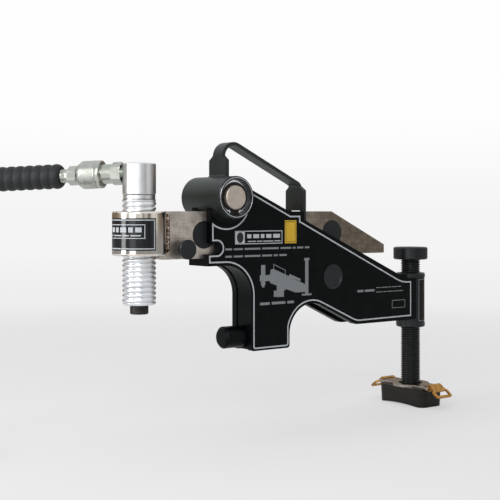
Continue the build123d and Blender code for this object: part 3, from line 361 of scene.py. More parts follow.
# %% Polished nickel plate of the collar: a near mirror, so the room shows as upright bands
tree, place = material("polished_nickel_plate", "collar_nickel")
swirl = add(tree, "Mapping", {"Vector": place, "Scale": (1.0, 1.0, 0.05)})
swirl = add(tree, "TexNoise", {"Vector": swirl, "Scale": PER_MM / 1.6})
haze = add(tree, "TexNoise", {"Vector": place, "Scale": PER_MM / 12.0, "Detail": 4.0})
shade = add(tree, "ValToRGB", {0: haze}, stops=[(0.3, "#d6cfc5"), (0.7, "#e6e1da")])
gloss = add(tree, "MapRange", {"Value": haze, "To Min": 0.05, "To Max": 0.11})
relief = add(tree, "Bump", {"Height": swirl, "Distance": 0.002 * MM})
skin = add(tree, "BsdfPrincipled", {"Base Color": shade, "Roughness": gloss, "Normal": relief, "Metallic": 1.0})
add(tree, "OutputMaterial", {"Surface": skin})

# %% Turned zinc-plated steel: silver, with faint rings that soften every reflection
tree, place = material("turned_bright_zinc", "cylinder_chrome")
rings = add(tree, "Mapping", {"Vector": place, "Scale": (0.03, 0.03, 1.0)})
rings = add(tree, "TexNoise", {"Vector": rings, "Scale": PER_MM / 0.8})
haze = add(tree, "TexNoise", {"Vector": place, "Scale": PER_MM / 18.0, "Detail": 4.0})
shade = add(tree, "ValToRGB", {0: haze}, stops=[(0.3, "#d4d7db"), (0.7, "#e4e6e8")])
gloss = add(tree, "MapRange", {"Value": haze, "To Min": 0.27, "To Max": 0.35})
relief = add(tree, "Bump", {"Height": rings, "Distance": 0.008 * MM})
skin = add(tree, "BsdfPrincipled", {"Base Color": shade, "Roughness": gloss, "Normal": relief, "Metallic": 1.0})
add(tree, "OutputMaterial", {"Surface": skin})

# %% Coupler zinc: silver with a faint green-grey breath of passivate
tree, place = material("pale_zinc_plate", "coupler_zinc")
film = add(tree, "TexNoise", {"Vector": place, "Scale": PER_MM / 9.0, "Detail": 4.0})
shade = add(tree, "ValToRGB", {0: film}, stops=[(0.3, "#a6a9a1"), (0.55, "#b3b6af"), (0.75, "#bab9ae")])
gloss = add(tree, "MapRange", {"Value": film, "To Min": 0.20, "To Max": 0.28})
skin = add(tree, "BsdfPrincipled", {"Base Color": shade, "Roughness": gloss, "Metallic": 1.0})
add(tree, "OutputMaterial", {"Surface": skin})

# %% Nickel on the foot's pressed plate: smooth and bright, with a few dull clouds
tree, place = material("nickel_plated_steel", "foot_nickel")
wear = add(tree, "TexNoise", {"Vector": place, "Scale": PER_MM / 14.0, "Detail": 3.0})
shade = add(tree, "ValToRGB", {0: wear}, stops=[(0.3, "#8f857b"), (0.65, "#a89e94")])
gloss = add(tree, "MapRange", {"Value": wear, "To Min": 0.16, "To Max": 0.28})
skin = add(tree, "BsdfPrincipled", {"Base Color": shade, "Roughness": gloss, "Metallic": 1.0})
add(tree, "OutputMaterial", {"Surface": skin})

# %% Yellow zinc: golden brown, with a grainy pressed surface
tree, place = material("yellow_zinc_plate", "hook_zinc")
tint = add(tree, "TexNoise", {"Vector": place, "Scale": PER_MM / 5.0, "Detail": 4.0})
grit = add(tree, "TexNoise", {"Vector": place, "Scale": PER_MM / 1.1})
shade = add(tree, "ValToRGB", {0: tint}, stops=[(0.3, "#8a5f2a"), (0.5, "#a87a3a"), (0.72, "#bd9350")])
relief = add(tree, "Bump", {"Height": grit, "Distance": 0.03 * MM})
skin = add(tree, "BsdfPrincipled", {"Base Color": shade, "Roughness": 0.40, "Normal": relief, "Metallic": 1.0})
add(tree, "OutputMaterial", {"Surface": skin})
print("finishes", len(finishes))

# %% [markdown]
# ### Bare and blackened steels
# Rollers and pins are ground bearing steel. The leg screw has a black oxide that holds oil, and
# the knob, the axle and the stop pin a thin black coat. The circlips are oiled spring steel.

# %% Ground bearing steel: matt beige-grey end faces
tree, place = material("ground_bearing_steel", "bearing_steel")
cloud = add(tree, "TexNoise", {"Vector": place, "Scale": PER_MM / 6.0, "Detail": 4.0})
grit = add(tree, "TexNoise", {"Vector": place, "Scale": PER_MM / 0.8})
shade = add(tree, "ValToRGB", {0: cloud}, stops=[(0.3, "#afa59a"), (0.7, "#c2b8ad")])
relief = add(tree, "Bump", {"Height": grit, "Distance": 0.012 * MM})
skin = add(tree, "BsdfPrincipled", {"Base Color": shade, "Roughness": 0.46, "Normal": relief, "Metallic": 0.75})
add(tree, "OutputMaterial", {"Surface": skin})

# %% Black oxide: dark, half metallic, oily
tree, place = material("black_oxide_steel", "screw_oxide")
oil = add(tree, "TexNoise", {"Vector": place, "Scale": PER_MM / 5.0, "Detail": 4.0})
shade = add(tree, "ValToRGB", {0: oil}, stops=[(0.3, "#0e1011"), (0.7, "#191b1d")])
gloss = add(tree, "MapRange", {"Value": oil, "To Min": 0.32, "To Max": 0.50})
skin = add(tree, "BsdfPrincipled", {"Base Color": shade, "Roughness": gloss, "Metallic": 0.3})
add(tree, "OutputMaterial", {"Surface": skin})

# %% Thin black coat over turned steel: bluish black
tree, place = material("black_coated_steel", "black_steel")
cloud = add(tree, "TexNoise", {"Vector": place, "Scale": PER_MM / 12.0, "Detail": 4.0})
grit = add(tree, "TexNoise", {"Vector": place, "Scale": PER_MM / 0.8})
shade = add(tree, "ValToRGB", {0: cloud}, stops=[(0.3, "#0c1012"), (0.7, "#14191c")])
gloss = add(tree, "MapRange", {"Value": cloud, "To Min": 0.24, "To Max": 0.36})
relief = add(tree, "Bump", {"Height": grit, "Distance": 0.01 * MM})
skin = add(tree, "BsdfPrincipled", {"Base Color": shade, "Roughness": gloss, "Normal": relief,
                                    "Specular IOR Level": 0.35})
add(tree, "OutputMaterial", {"Surface": skin})

# %% Hardened plunger steel: brownish black
tree, place = material("dark_hardened_steel", "plunger_steel")
scale = add(tree, "TexNoise", {"Vector": place, "Scale": PER_MM / 4.0, "Detail": 4.0})
shade = add(tree, "ValToRGB", {0: scale}, stops=[(0.3, "#1a1917"), (0.7, "#2f2e2a")])
skin = add(tree, "BsdfPrincipled", {"Base Color": shade, "Roughness": 0.42, "Metallic": 0.6})
add(tree, "OutputMaterial", {"Surface": skin})

# %% Spring steel: bright wire with sharp glints
tree, place = material("bright_spring_steel", "spring_steel")
oil = add(tree, "TexNoise", {"Vector": place, "Scale": PER_MM / 2.0})
gloss = add(tree, "MapRange", {"Value": oil, "To Min": 0.10, "To Max": 0.22})
skin = add(tree, "BsdfPrincipled", {"Base Color": linear("#c3c7cb"), "Roughness": gloss, "Metallic": 1.0})
add(tree, "OutputMaterial", {"Surface": skin})

# %% Oiled bronze of the bushes: almost black from oil, warm where it is rubbed
tree, place = material("oiled_bronze", "bronze")
oil = add(tree, "TexNoise", {"Vector": place, "Scale": PER_MM / 3.0, "Detail": 3.0})
shade = add(tree, "ValToRGB", {0: oil}, stops=[(0.3, "#12100d"), (0.7, "#27211a")])
skin = add(tree, "BsdfPrincipled", {"Base Color": shade, "Roughness": 0.36, "Metallic": 0.6})
add(tree, "OutputMaterial", {"Surface": skin})
print("finishes", len(finishes))

# %% [markdown]
# ### Rubber and plastic
# Moulded rubber scatters light from a fine rough skin, so it has no clear reflection. The hose
# cover is smoother than the grip, and the slide discs are a hard black plastic, turned flat.

# %% Grip rubber: matt black with a mould's fine grain
tree, place = material("moulded_grip_rubber", "grip_rubber")
cloud = add(tree, "TexNoise", {"Vector": place, "Scale": PER_MM / 10.0, "Detail": 3.0})
grit = add(tree, "TexNoise", {"Vector": place, "Scale": PER_MM / 1.0, "Detail": 3.0})
shade = add(tree, "ValToRGB", {0: cloud}, stops=[(0.3, "#101415"), (0.7, "#191d1e")])
relief = add(tree, "Bump", {"Height": grit, "Distance": 0.04 * MM})
skin = add(tree, "BsdfPrincipled", {"Base Color": shade, "Roughness": 0.58, "Normal": relief,
                                    "Specular IOR Level": 0.35})
add(tree, "OutputMaterial", {"Surface": skin})

# %% Hose cover: smooth extruded rubber
tree, place = material("smooth_hose_cover", "hose_rubber")
cloud = add(tree, "TexNoise", {"Vector": place, "Scale": PER_MM / 16.0, "Detail": 3.0})
grit = add(tree, "TexNoise", {"Vector": place, "Scale": PER_MM / 1.2, "Detail": 3.0})
shade = add(tree, "ValToRGB", {0: cloud}, stops=[(0.3, "#131516"), (0.7, "#1c1f20")])
relief = add(tree, "Bump", {"Height": grit, "Distance": 0.03 * MM})
skin = add(tree, "BsdfPrincipled", {"Base Color": shade, "Roughness": 0.46, "Normal": relief})
add(tree, "OutputMaterial", {"Surface": skin})

# %% Pad rubber: hard, with level bands round the block: their lighter and darker colour is painted sheen for highlight streaks along its curved side, and their roughness varies with them
tree, place = material("hard_pad_rubber", "pad_rubber")
level_sheen_bands = add(tree, "Mapping", {"Vector": place, "Scale": (0.05, 0.05, 1.0)})
level_sheen_bands = add(tree, "TexNoise", {"Vector": level_sheen_bands, "Scale": PER_MM / 3.0, "Detail": 3.0})
grit = add(tree, "TexNoise", {"Vector": place, "Scale": PER_MM / 1.2, "Detail": 3.0})
# Painted sheen: the colour runs lighter and darker in the level bands.
shade = add(tree, "ValToRGB", {0: level_sheen_bands}, stops=[(0.3, "#0e0d0c"), (0.7, "#1c1a17")])
gloss = add(tree, "MapRange", {"Value": level_sheen_bands, "To Min": 0.36, "To Max": 0.58})
relief = add(tree, "Bump", {"Height": grit, "Distance": 0.05 * MM})
skin = add(tree, "BsdfPrincipled", {"Base Color": shade, "Roughness": gloss, "Normal": relief,
                                    "Specular IOR Level": 0.25})
add(tree, "OutputMaterial", {"Surface": skin})

# %% Seal rubber: brown-black and oily
tree, place = material("oily_seal_rubber", "seal_rubber")
grit = add(tree, "TexNoise", {"Vector": place, "Scale": PER_MM / 0.8})
relief = add(tree, "Bump", {"Height": grit, "Distance": 0.01 * MM})
skin = add(tree, "BsdfPrincipled", {"Base Color": linear("#2c2622"), "Roughness": 0.40, "Normal": relief})
add(tree, "OutputMaterial", {"Surface": skin})

# %% Slide plastic: matt black with a blue tint
tree, place = material("turned_slide_plastic", "slide_plastic")
cloud = add(tree, "TexNoise", {"Vector": place, "Scale": PER_MM / 3.0, "Detail": 4.0})
grit = add(tree, "TexNoise", {"Vector": place, "Scale": PER_MM / 0.8})
shade = add(tree, "ValToRGB", {0: cloud}, stops=[(0.3, "#0d1214"), (0.7, "#161b1e")])
relief = add(tree, "Bump", {"Height": grit, "Distance": 0.02 * MM})
skin = add(tree, "BsdfPrincipled", {"Base Color": shade, "Roughness": 0.52, "Normal": relief,
                                    "Specular IOR Level": 0.30})
add(tree, "OutputMaterial", {"Surface": skin})

# %% Acetal of the ball's cup: milky white
tree, place = material("moulded_acetal", "cup_plastic")
flow = add(tree, "TexNoise", {"Vector": place, "Scale": PER_MM / 2.0})
gloss = add(tree, "MapRange", {"Value": flow, "To Min": 0.36, "To Max": 0.50})
skin = add(tree, "BsdfPrincipled", {"Base Color": linear("#d8d4c8"), "Roughness": gloss})
add(tree, "OutputMaterial", {"Surface": skin})
print("finishes", len(finishes))

# %% [markdown]
# ### Printed films
# The labels are glossy black vinyl with printed lines in light grey. Screen ink is matt and a
# little uneven, which keeps the lines from looking like cut metal.

# %% Label film: smooth, so the left window streaks across it
tree, place = material("black_label_film", "label_film")
wave = add(tree, "TexNoise", {"Vector": place, "Scale": PER_MM / 12.0, "Detail": 2.0})
shade = add(tree, "ValToRGB", {0: wave}, stops=[(0.3, "#070b10"), (0.7, "#0d1218")])
gloss = add(tree, "MapRange", {"Value": wave, "To Min": 0.12, "To Max": 0.18})
skin = add(tree, "BsdfPrincipled", {"Base Color": shade, "Roughness": gloss})
add(tree, "OutputMaterial", {"Surface": skin})

# %% Matt film of the leg boss's label: worn, so it gives no streak
tree, place = material("matt_black_film", "boss_film")
scuff = add(tree, "TexNoise", {"Vector": place, "Scale": PER_MM / 7.0, "Detail": 5.0})
shade = add(tree, "ValToRGB", {0: scuff}, stops=[(0.3, "#0b0a09"), (0.7, "#16120d")])
gloss = add(tree, "MapRange", {"Value": scuff, "To Min": 0.34, "To Max": 0.48})
skin = add(tree, "BsdfPrincipled", {"Base Color": shade, "Roughness": gloss, "Specular IOR Level": 0.18})
add(tree, "OutputMaterial", {"Surface": skin})

# %% Inks: light grey, dim grey and yellow
for slot, name, low, high in (("light_ink", "light_grey_ink", "#a5abaf", "#b8bdc0"),
                              ("dim_ink", "dim_grey_ink", "#6e7375", "#818688"),
                              ("yellow_ink", "yellow_patch_ink", "#bd9722", "#cda933")):
    tree, place = material(name, slot)
    cover = add(tree, "TexNoise", {"Vector": place, "Scale": PER_MM / 2.5, "Detail": 4.0})
    shade = add(tree, "ValToRGB", {0: cover}, stops=[(0.3, low), (0.7, high)])
    skin = add(tree, "BsdfPrincipled", {"Base Color": shade, "Roughness": 0.45, "Specular IOR Level": 0.3})
    add(tree, "OutputMaterial", {"Surface": skin})
print("finishes", len(finishes))

# %% Weld metal: nickel over ripples, scorched brown beside them
tree, place = material("plated_weld_bead", "weld_metal")
scorch = add(tree, "TexNoise", {"Vector": place, "Scale": PER_MM / 3.0, "Detail": 4.0})
spatter = add(tree, "TexNoise", {"Vector": place, "Scale": PER_MM / 0.9, "Detail": 2.0})
shade = add(tree, "ValToRGB", {0: scorch}, stops=[(0.36, "#3a271b"), (0.5, "#6b5747"), (0.62, "#cdc6bf")])
relief = add(tree, "Bump", {"Height": spatter, "Distance": 0.12 * MM})
skin = add(tree, "BsdfPrincipled", {"Base Color": shade, "Roughness": 0.26, "Normal": relief, "Metallic": 1.0})
add(tree, "OutputMaterial", {"Surface": skin})
print("finishes", len(finishes))

# %% Give each CAD node the finish of its slot
slot_of = {part["node"]: part["material_slot"] for part in frame["record"]["subparts"]}
slot_of["cylinder_collar"] = "collar_nickel"
slot_of["leg_boss"] = "black_steel"
for name, thing in nodes.items():
    thing.data.materials.clear()
    thing.data.materials.append(finishes[slot_of[name]])
hose_curve.materials.append(finishes["hose_rubber"])
print("dressed", len(nodes), "nodes")

# %% [markdown]
# ## Surfaces from arrays
# Every new piece is a grid of points, rows along it and columns round it, worked out as whole
# numpy arrays. Four neighbours make a face, and the last column joins the first. A piece may hold
# several grids, so all the printed lines of one label are one object.

# %% Put grids into a mesh
def grid_faces(rows, columns, closed, first):
    """Corner numbers of a grid's faces; its columns always close up, its rows only if closed."""
    last = rows if closed else rows - 1
    row, column = np.meshgrid(np.arange(last), np.arange(columns), indexing="ij")
    beyond = (row + 1) % rows
    beside = (column + 1) % columns
    faces = np.stack([row * columns + column, row * columns + beside,
                      beyond * columns + beside, beyond * columns + column], axis=-1)
    return first + faces.reshape(-1, 4)


def piece(name, grids, body, finish, closed=False, sharp=40.0):
    """Make one mesh of point grids in millimetres (rows, columns, 3) that rides on a body."""
    sizes = [grid.shape[0] * grid.shape[1] for grid in grids]
    firsts = np.concatenate([[0], np.cumsum(sizes)])
    points = np.concatenate([grid.reshape(-1, 3) for grid in grids]) * MM
    faces = np.concatenate([grid_faces(*grid.shape[:2], closed, first) for grid, first in zip(grids, firsts)])
    mesh = bpy.data.meshes.new(name)
    mesh.vertices.add(len(points))
    mesh.vertices.foreach_set("co", points.ravel())
    mesh.loops.add(faces.size)
    mesh.loops.foreach_set("vertex_index", faces.ravel())
    mesh.polygons.add(len(faces))
    mesh.polygons.foreach_set("loop_start", np.arange(0, faces.size, 4))
    mesh.update(calc_edges=True)
    shape = bmesh.new()
    shape.from_mesh(mesh)
    bmesh.ops.remove_doubles(shape, verts=shape.verts, dist=1e-7)
    bmesh.ops.recalc_face_normals(shape, faces=shape.faces)
    shape.to_mesh(mesh)
    shape.free()
    mesh.shade_smooth()
    mesh.set_sharp_from_angle(angle=math.radians(sharp))
    mesh.materials.append(finishes[finish])
    thing = bpy.data.objects.new(name, mesh)
    bpy.context.scene.collection.objects.link(thing)
    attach(thing, body)
    print(name, "faces", len(mesh.polygons))
    return thing


def even(low, high, step):
    """Evenly spaced values from low to high, no further apart than step."""
    return np.linspace(low, high, max(2, int(math.ceil((high - low) / step)) + 1))


# %% [markdown]
# ## Threads
# The cylinder has a coarse rounded thread that runs its whole length, and the leg is a long
# standard screw. A thread is a groove that climbs one pitch in each turn: the depth at a point
# depends only on its height in pitches less its share of a turn. It is modelled, not bumped,
# because the teeth show in the outline.

# %% Round a profile with a climbing groove
def threaded(profile, marked, pitch, depth, tooth, centre, columns):
    """Carries (radius, height) rows round an axis; marked rows lose depth × tooth(height/pitch − turn)."""
    turn = np.arange(columns) / columns
    radius, height = profile[:, 0:1], profile[:, 1:2]
    phase = np.mod(height / pitch - turn[None, :], 1.0)
    around = radius - marked[:, None] * depth * tooth(phase)
    angle = 2 * np.pi * turn[None, :]
    level = np.ones_like(angle)
    return np.stack([centre[0] + around * np.cos(angle), centre[1] + around * np.sin(angle), height * level],
                    axis=-1)


def faded(height, low, high, run):
    """1 along the thread, falling smoothly to 0 over run at both ends: share² × (3 − 2 × share)."""
    share = np.clip(np.minimum(height - low, high - height) / run, 0, 1)
    return share * share * (3 - 2 * share)


print("thread helper ready")

# %% The cylinder's thread
BARREL_RADIUS = 21.7
BARREL_LOW = 52.0
BARREL_HIGH = 187.0
BARREL_EDGE = 2.0
NECK_RADIUS = 20.6
NECK_TOP = 193.5
NECK_GROOVE = 19.0
GROOVE_WIDE = 0.9
BORE = 14.35
WIPER_BORE = 15.55
WIPER_TOP = 58.0
ROD_BORE = 11.95
GLAND_TOP = 66.0
BARREL_PITCH = 6.4
BARREL_DEPTH = 2.0
heights = even(BARREL_LOW + BARREL_EDGE, BARREL_HIGH, BARREL_PITCH / 12)
outer = np.column_stack([np.full(len(heights), BARREL_RADIUS), heights])
outline = np.vstack([[(WIPER_BORE, BARREL_LOW), (BARREL_RADIUS - BARREL_EDGE, BARREL_LOW)], outer,
                     [(NECK_GROOVE, BARREL_HIGH), (NECK_GROOVE, BARREL_HIGH + GROOVE_WIDE),
                      (NECK_RADIUS, BARREL_HIGH + GROOVE_WIDE), (NECK_RADIUS, NECK_TOP - GROOVE_WIDE),
                      (NECK_GROOVE, NECK_TOP - GROOVE_WIDE), (NECK_GROOVE, NECK_TOP), (BORE, NECK_TOP), (BORE, GLAND_TOP),
                      (ROD_BORE, GLAND_TOP), (ROD_BORE, WIPER_TOP), (WIPER_BORE, WIPER_TOP)]])
marked = np.zeros(len(outline))
marked[2:2 + len(heights)] = faded(heights, BARREL_LOW, BARREL_HIGH, 0.8 * BARREL_PITCH)
barrel = piece("barrel_thread", [threaded(outline, marked, BARREL_PITCH, BARREL_DEPTH,
                                          lambda p: 1 - np.abs(np.sin(np.pi * p)), (CYLINDER_X, 0), 96)],
               "cylinder", "cylinder_chrome", closed=True)
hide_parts("cylinder_barrel")


# %% Rings: a small round section carried round an axis
def ring(centre, u, v, radius, section):
    """Torus points: centre + (radius + section cos b)(u cos a + v sin a) + section sin b (u × v)."""
    a = 2 * np.pi * np.arange(96)[:, None, None] / 96
    b = 2 * np.pi * np.arange(10)[None, :, None] / 10
    u, v = np.array(u, float), np.array(v, float)
    return centre + (radius + section * np.cos(b)) * (u * np.cos(a) + v * np.sin(a)) + section * np.sin(b) * np.cross(u, v)


# Painted shade: dark rubber rings fill the two neck grooves under the cap and stand in for the contact shadow in them.
NECK_SHADE_RINGS = [ring((CYLINDER_X, 0, z), (1, 0, 0), (0, 1, 0), NECK_RADIUS - 0.35, GROOVE_WIDE / 2)
         for z in (BARREL_HIGH + GROOVE_WIDE / 2, NECK_TOP - GROOVE_WIDE / 2)]
piece("neck_shade_rings", NECK_SHADE_RINGS, "cylinder", "seal_rubber", closed=True, sharp=180.0)

# %% The leg's thread
LEG_X = 329.5
SCREW_RADIUS = 15.0
SCREW_LOW = -96.5
SCREW_HIGH = 97.0
SPIGOT_RADIUS = 11.0
SPIGOT_TOP = 110.0
SOCKET = 6.05
SOCKET_TOP = -74.2
SCREW_PITCH = 3.5
SCREW_DEPTH = 1.9
heights = even(SCREW_LOW + 1.0, SCREW_HIGH, SCREW_PITCH / 10)
outer = np.column_stack([np.full(len(heights), SCREW_RADIUS), heights])
outline = np.vstack([[(0, SOCKET_TOP), (SOCKET, SOCKET_TOP), (SOCKET, SCREW_LOW),
                      (SCREW_RADIUS - SCREW_DEPTH, SCREW_LOW)],
                     outer, [(SPIGOT_RADIUS, SCREW_HIGH), (SPIGOT_RADIUS, SPIGOT_TOP), (0, SPIGOT_TOP)]])
marked = np.zeros(len(outline))
marked[4:4 + len(heights)] = 1.0
screw = piece("leg_thread", [threaded(outline, marked, SCREW_PITCH, SCREW_DEPTH,
                                      lambda p: np.clip((np.abs(2 * p - 1) - 0.26) / 0.54, 0, 1),
                                      (LEG_X, 0), 72)], "screw", "screw_oxide", sharp=30.0)
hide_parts("leg_screw")

# %% [markdown]
# ## The coupler's sleeve and ferrule
# The locking sleeve is knurled: two sets of fine grooves climb opposite ways round it and leave
# diamonds. The ferrule is pressed on the hose by jaws, which leave flats. Both are one profile
# turned about the port's line, with a depth that depends on the turn and on the place along it.

# %% Turn a profile about the port's line
port_across = np.array([math.cos(PORT_HEADING) * math.cos(math.pi / 2 + PORT_DROOP),
                        math.sin(PORT_HEADING) * math.cos(math.pi / 2 + PORT_DROOP),
                        -math.sin(math.pi / 2 + PORT_DROOP)])
port_beside = np.array([-math.sin(PORT_HEADING), math.cos(PORT_HEADING), 0.0])


def on_port(profile, columns, cut):
    """Turns (radius, distance) rows about the port's line; the radius loses cut(distance, turn in radians)."""
    turn = 2 * np.pi * np.arange(columns)[None, :] / columns
    radius, distance = profile[:, 0:1], profile[:, 1:2]
    around = radius - cut(distance, turn)
    return (port_start + distance[..., None] * port_line
            + (around * np.cos(turn))[..., None] * port_across
            + (around * np.sin(turn))[..., None] * port_beside)


print("port line", [round(float(v), 3) for v in port_line])

# %% The knurled sleeve
SLEEVE_LOW = 49.8
SLEEVE_HIGH = 77.2
SLEEVE_RADIUS = 18.25
SLEEVE_BORE = 14.6
SLEEVE_LIP = 13.0
LIP_THICK = 2.0
KNURL_LOW = 57.0
KNURL_HIGH = 73.5
KNURL_PITCH = 1.9
KNURL_DEPTH = 0.32
KNURLS = round(2 * math.pi * SLEEVE_RADIUS / KNURL_PITCH)


def knurl(distance, turn):
    """Depth × the deeper of two saw-tooth grooves, |2 × fraction − 1|, that climb opposite ways."""
    step = distance / KNURL_PITCH
    right = np.abs(2 * np.mod(turn * KNURLS / (2 * np.pi) + step, 1.0) - 1)
    left = np.abs(2 * np.mod(turn * KNURLS / (2 * np.pi) - step, 1.0) - 1)
    marked = (distance > KNURL_LOW) & (distance < KNURL_HIGH)
    return marked * KNURL_DEPTH * np.maximum(right, left)


places = even(KNURL_LOW - 0.2, KNURL_HIGH + 0.2, KNURL_PITCH / 5)
band = np.column_stack([np.full(len(places), SLEEVE_RADIUS), places])
outline = np.vstack([[(SLEEVE_LIP, SLEEVE_LOW), (SLEEVE_RADIUS - 1.2, SLEEVE_LOW),
                      (SLEEVE_RADIUS - 0.4, SLEEVE_LOW + 0.4), (SLEEVE_RADIUS, SLEEVE_LOW + 1.2),
                      (SLEEVE_RADIUS, 54.6), (SLEEVE_RADIUS - 0.7, 55.2), (SLEEVE_RADIUS - 0.7, 55.9),
                      (SLEEVE_RADIUS, 56.5)], band,
                     [(SLEEVE_RADIUS, SLEEVE_HIGH - 1.2), (SLEEVE_RADIUS - 0.4, SLEEVE_HIGH - 0.4),
                      (SLEEVE_RADIUS - 1.2, SLEEVE_HIGH), (SLEEVE_BORE, SLEEVE_HIGH),
                      (SLEEVE_BORE, SLEEVE_LOW + LIP_THICK), (SLEEVE_LIP, SLEEVE_LOW + LIP_THICK)]])
sleeve = piece("knurled_sleeve", [on_port(outline, KNURLS * 4, knurl)], "sleeve", "coupler_zinc", closed=True)
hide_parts("coupler_sleeve")
print("knurls", KNURLS)

# %% The crimped ferrule
FERRULE_LOW = 96.0
FERRULE_HIGH = 120.0
FERRULE_RADIUS = 9.3
JAWS = 8
places = even(FERRULE_LOW + 0.8, FERRULE_HIGH, 0.8)
band = np.column_stack([np.full(len(places), FERRULE_RADIUS), places])
outline = np.vstack([[(0, FERRULE_LOW), (FERRULE_RADIUS - 0.8, FERRULE_LOW)], band, [(0, FERRULE_HIGH)]])
ferrule = piece("crimped_ferrule", [on_port(outline, 96, lambda s, turn: 0.6 * np.abs(np.cos(JAWS / 2 * turn))
                                            * ((s > 99.0) & (s < 106.0)))], "cylinder", "coupler_zinc")
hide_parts("hose_ferrule")

# %% [markdown]
# ## Weld beads
# A bead is a row of frozen ripples: each ripple is a small arc left by the moving pool of metal.
# Here a rounded section is carried along the joint, and it swells and shrinks once per ripple.

# %% Carry a rippling section along a joint
def bead(path, out_a, out_b, size, ripple, swell, steps=9):
    """A quarter-round section between two directions from each path point; its reach is size × (1 + swell × |sin|)."""
    path, out_a, out_b = (np.broadcast_to(np.asarray(v, float), (len(path), 3)) for v in (path, out_a, out_b))
    run = np.concatenate([[0], np.cumsum(np.linalg.norm(np.diff(path, axis=0), axis=1))])
    end = np.clip(np.minimum(run, run[-1] - run) / size, 0, 1)[:, None, None] ** 0.5
    turn = np.linspace(-0.15, math.pi / 2 + 0.15, steps)
    lag = ripple * 0.5 * np.sin(2 * turn)
    wave = 1 + swell * np.abs(np.sin(math.pi * (run[:, None] - lag[None, :]) / ripple))
    round_off = 0.74 + 0.26 * np.abs(np.cos(2 * turn))
    reach = (size * wave * round_off[None, :])[..., None] * end
    surface = path[:, None] + reach * (np.cos(turn)[:, None] * out_a[:, None] + np.sin(turn)[:, None] * out_b[:, None])
    root = path[:, None] - 0.25 * size * end * (out_a + out_b)[:, None]
    return np.concatenate([surface, root], axis=1)


print("bead helper ready")

# %% Beads round the roller tube, between the tube and both side plates
TUBE_X = -41.7
TUBE_Z = 190.4
TUBE_RADIUS = 28.5
HALF_WIDTH = 22.3
turn = np.radians(even(-146.0, 33.0, 1.0))
outwards = np.stack([np.cos(turn), np.zeros_like(turn), np.sin(turn)], axis=-1)
for side, name, node in ((-1, "tube_bead_front", "tube_weld_front"), (1, "tube_bead_rear", "tube_weld_rear")):
    corner = (TUBE_X, side * HALF_WIDTH, TUBE_Z) + outwards * TUBE_RADIUS
    thing = piece(name, [bead(corner, outwards, (0, side, 0), 6.4, 3.0, 0.10)], "frame", "black_paint", sharp=60.0)
    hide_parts(node)

# %% The rounded rims of the tube's ends, made of bright spring steel where the real rims are glossy black: painted highlight, so that they catch the window as a thin bright arc
RIM_RADIUS = 26.2
RIM_SECTION = 0.5
# Painted highlight: bright steel rings on rims that are glossy black, to draw the window's thin bright arc.
rim_highlight_rings = [ring((TUBE_X, side * (TUBE_HALF - 0.2), TUBE_Z), (1, 0, 0), (0, 0, 1), RIM_RADIUS, RIM_SECTION)
        for side in (-1, 1)]
piece("tube_rim_highlights", rim_highlight_rings, "frame", "spring_steel", closed=True, sharp=180.0)

# %% Beads between the collar and the bar, plated with them
COLLAR_RADIUS = 34.75
BAR_HALF = 12.0
heights = even(117.5, 169.5, 0.5)
seam_x = CYLINDER_X + math.sqrt(COLLAR_RADIUS ** 2 - BAR_HALF ** 2)
seams = []
for side in (-1, 1):
    corner = np.column_stack([np.full_like(heights, seam_x), np.full_like(heights, side * BAR_HALF), heights])
    seams.append(bead(corner, (1, 0, 0), (0.3, side * 0.95, 0), 4.6, 2.6, 0.22))
seam = piece("collar_beads", seams, "arm", "weld_metal", sharp=60.0)
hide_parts("collar_weld")

# %% Beads at the handle's foot on the tube
FOOT_FRONT = -41.0
FOOT_BACK = -36.0
places = even(-20.0, 20.0, 0.5)
beads = []
for x, out in ((FOOT_FRONT, -1), (FOOT_BACK, 1)):
    top = TUBE_Z + math.sqrt(TUBE_RADIUS ** 2 - (x - TUBE_X) ** 2)
    corner = np.column_stack([np.full_like(places, x), places, np.full_like(places, top)])
    beads.append(bead(corner, (out, 0, 0), (0, 0, 1), 2.4, 2.4, 0.15))
piece("handle_foot_beads", beads, "frame", "grey_paint", sharp=60.0)

# %% [markdown]
# ## Printed lines and labels
# The print is modelled as thin raised ink: a flat drawing in millimetres, given a thickness of a
# tenth of a millimetre and laid on a plate or wrapped round a cylinder. Every line is a narrow
# rectangle carried along its path, with mitred corners. The fields are plain.

# %% Flat drawing tools
INK = 0.12
FILM = 0.10


def arc(x, z, radius, start, end, step=5.0):
    """Points on a circle about (x, z) from one angle to another, in degrees."""
    turn = np.radians(np.linspace(start, end, int(abs(end - start) / step) + 2))
    return np.column_stack([x + radius * np.cos(turn), z + radius * np.sin(turn)])


def eased(before, corner, after, reach, steps=9):
    """A corner rounded by the parabola (1 − s)² a + 2 s (1 − s) corner + s² b, a and b at reach from it."""
    before, corner, after = (np.array(v, float) for v in (before, corner, after))
    a = corner + reach * (before - corner) / np.linalg.norm(before - corner)
    b = corner + reach * (after - corner) / np.linalg.norm(after - corner)
    s = np.linspace(0, 1, steps)[:, None]
    return (1 - s) ** 2 * a + 2 * s * (1 - s) * corner + s ** 2 * b


def ribbon(path, width, lay, low=-0.05, high=INK, closed=False):
    """A rectangle of width × (high − low) carried along a flat path; each corner lies on the mitre line."""
    path = np.asarray(path, float)
    ahead = np.roll(path, -1, axis=0) - path
    behind = path - np.roll(path, 1, axis=0)
    if not closed:
        ahead[-1] = behind[-1]
        behind[0] = ahead[0]
    ahead /= np.linalg.norm(ahead, axis=1, keepdims=True)
    behind /= np.linalg.norm(behind, axis=1, keepdims=True)
    middle = (ahead + behind) / np.linalg.norm(ahead + behind, axis=1, keepdims=True)
    share = np.maximum(np.sum(middle * ahead, axis=1, keepdims=True), 0.4)
    side = np.column_stack([-middle[:, 1], middle[:, 0]]) * (width / 2 / share)
    return between_edges(path + side, path - side, lay, low, high, closed)


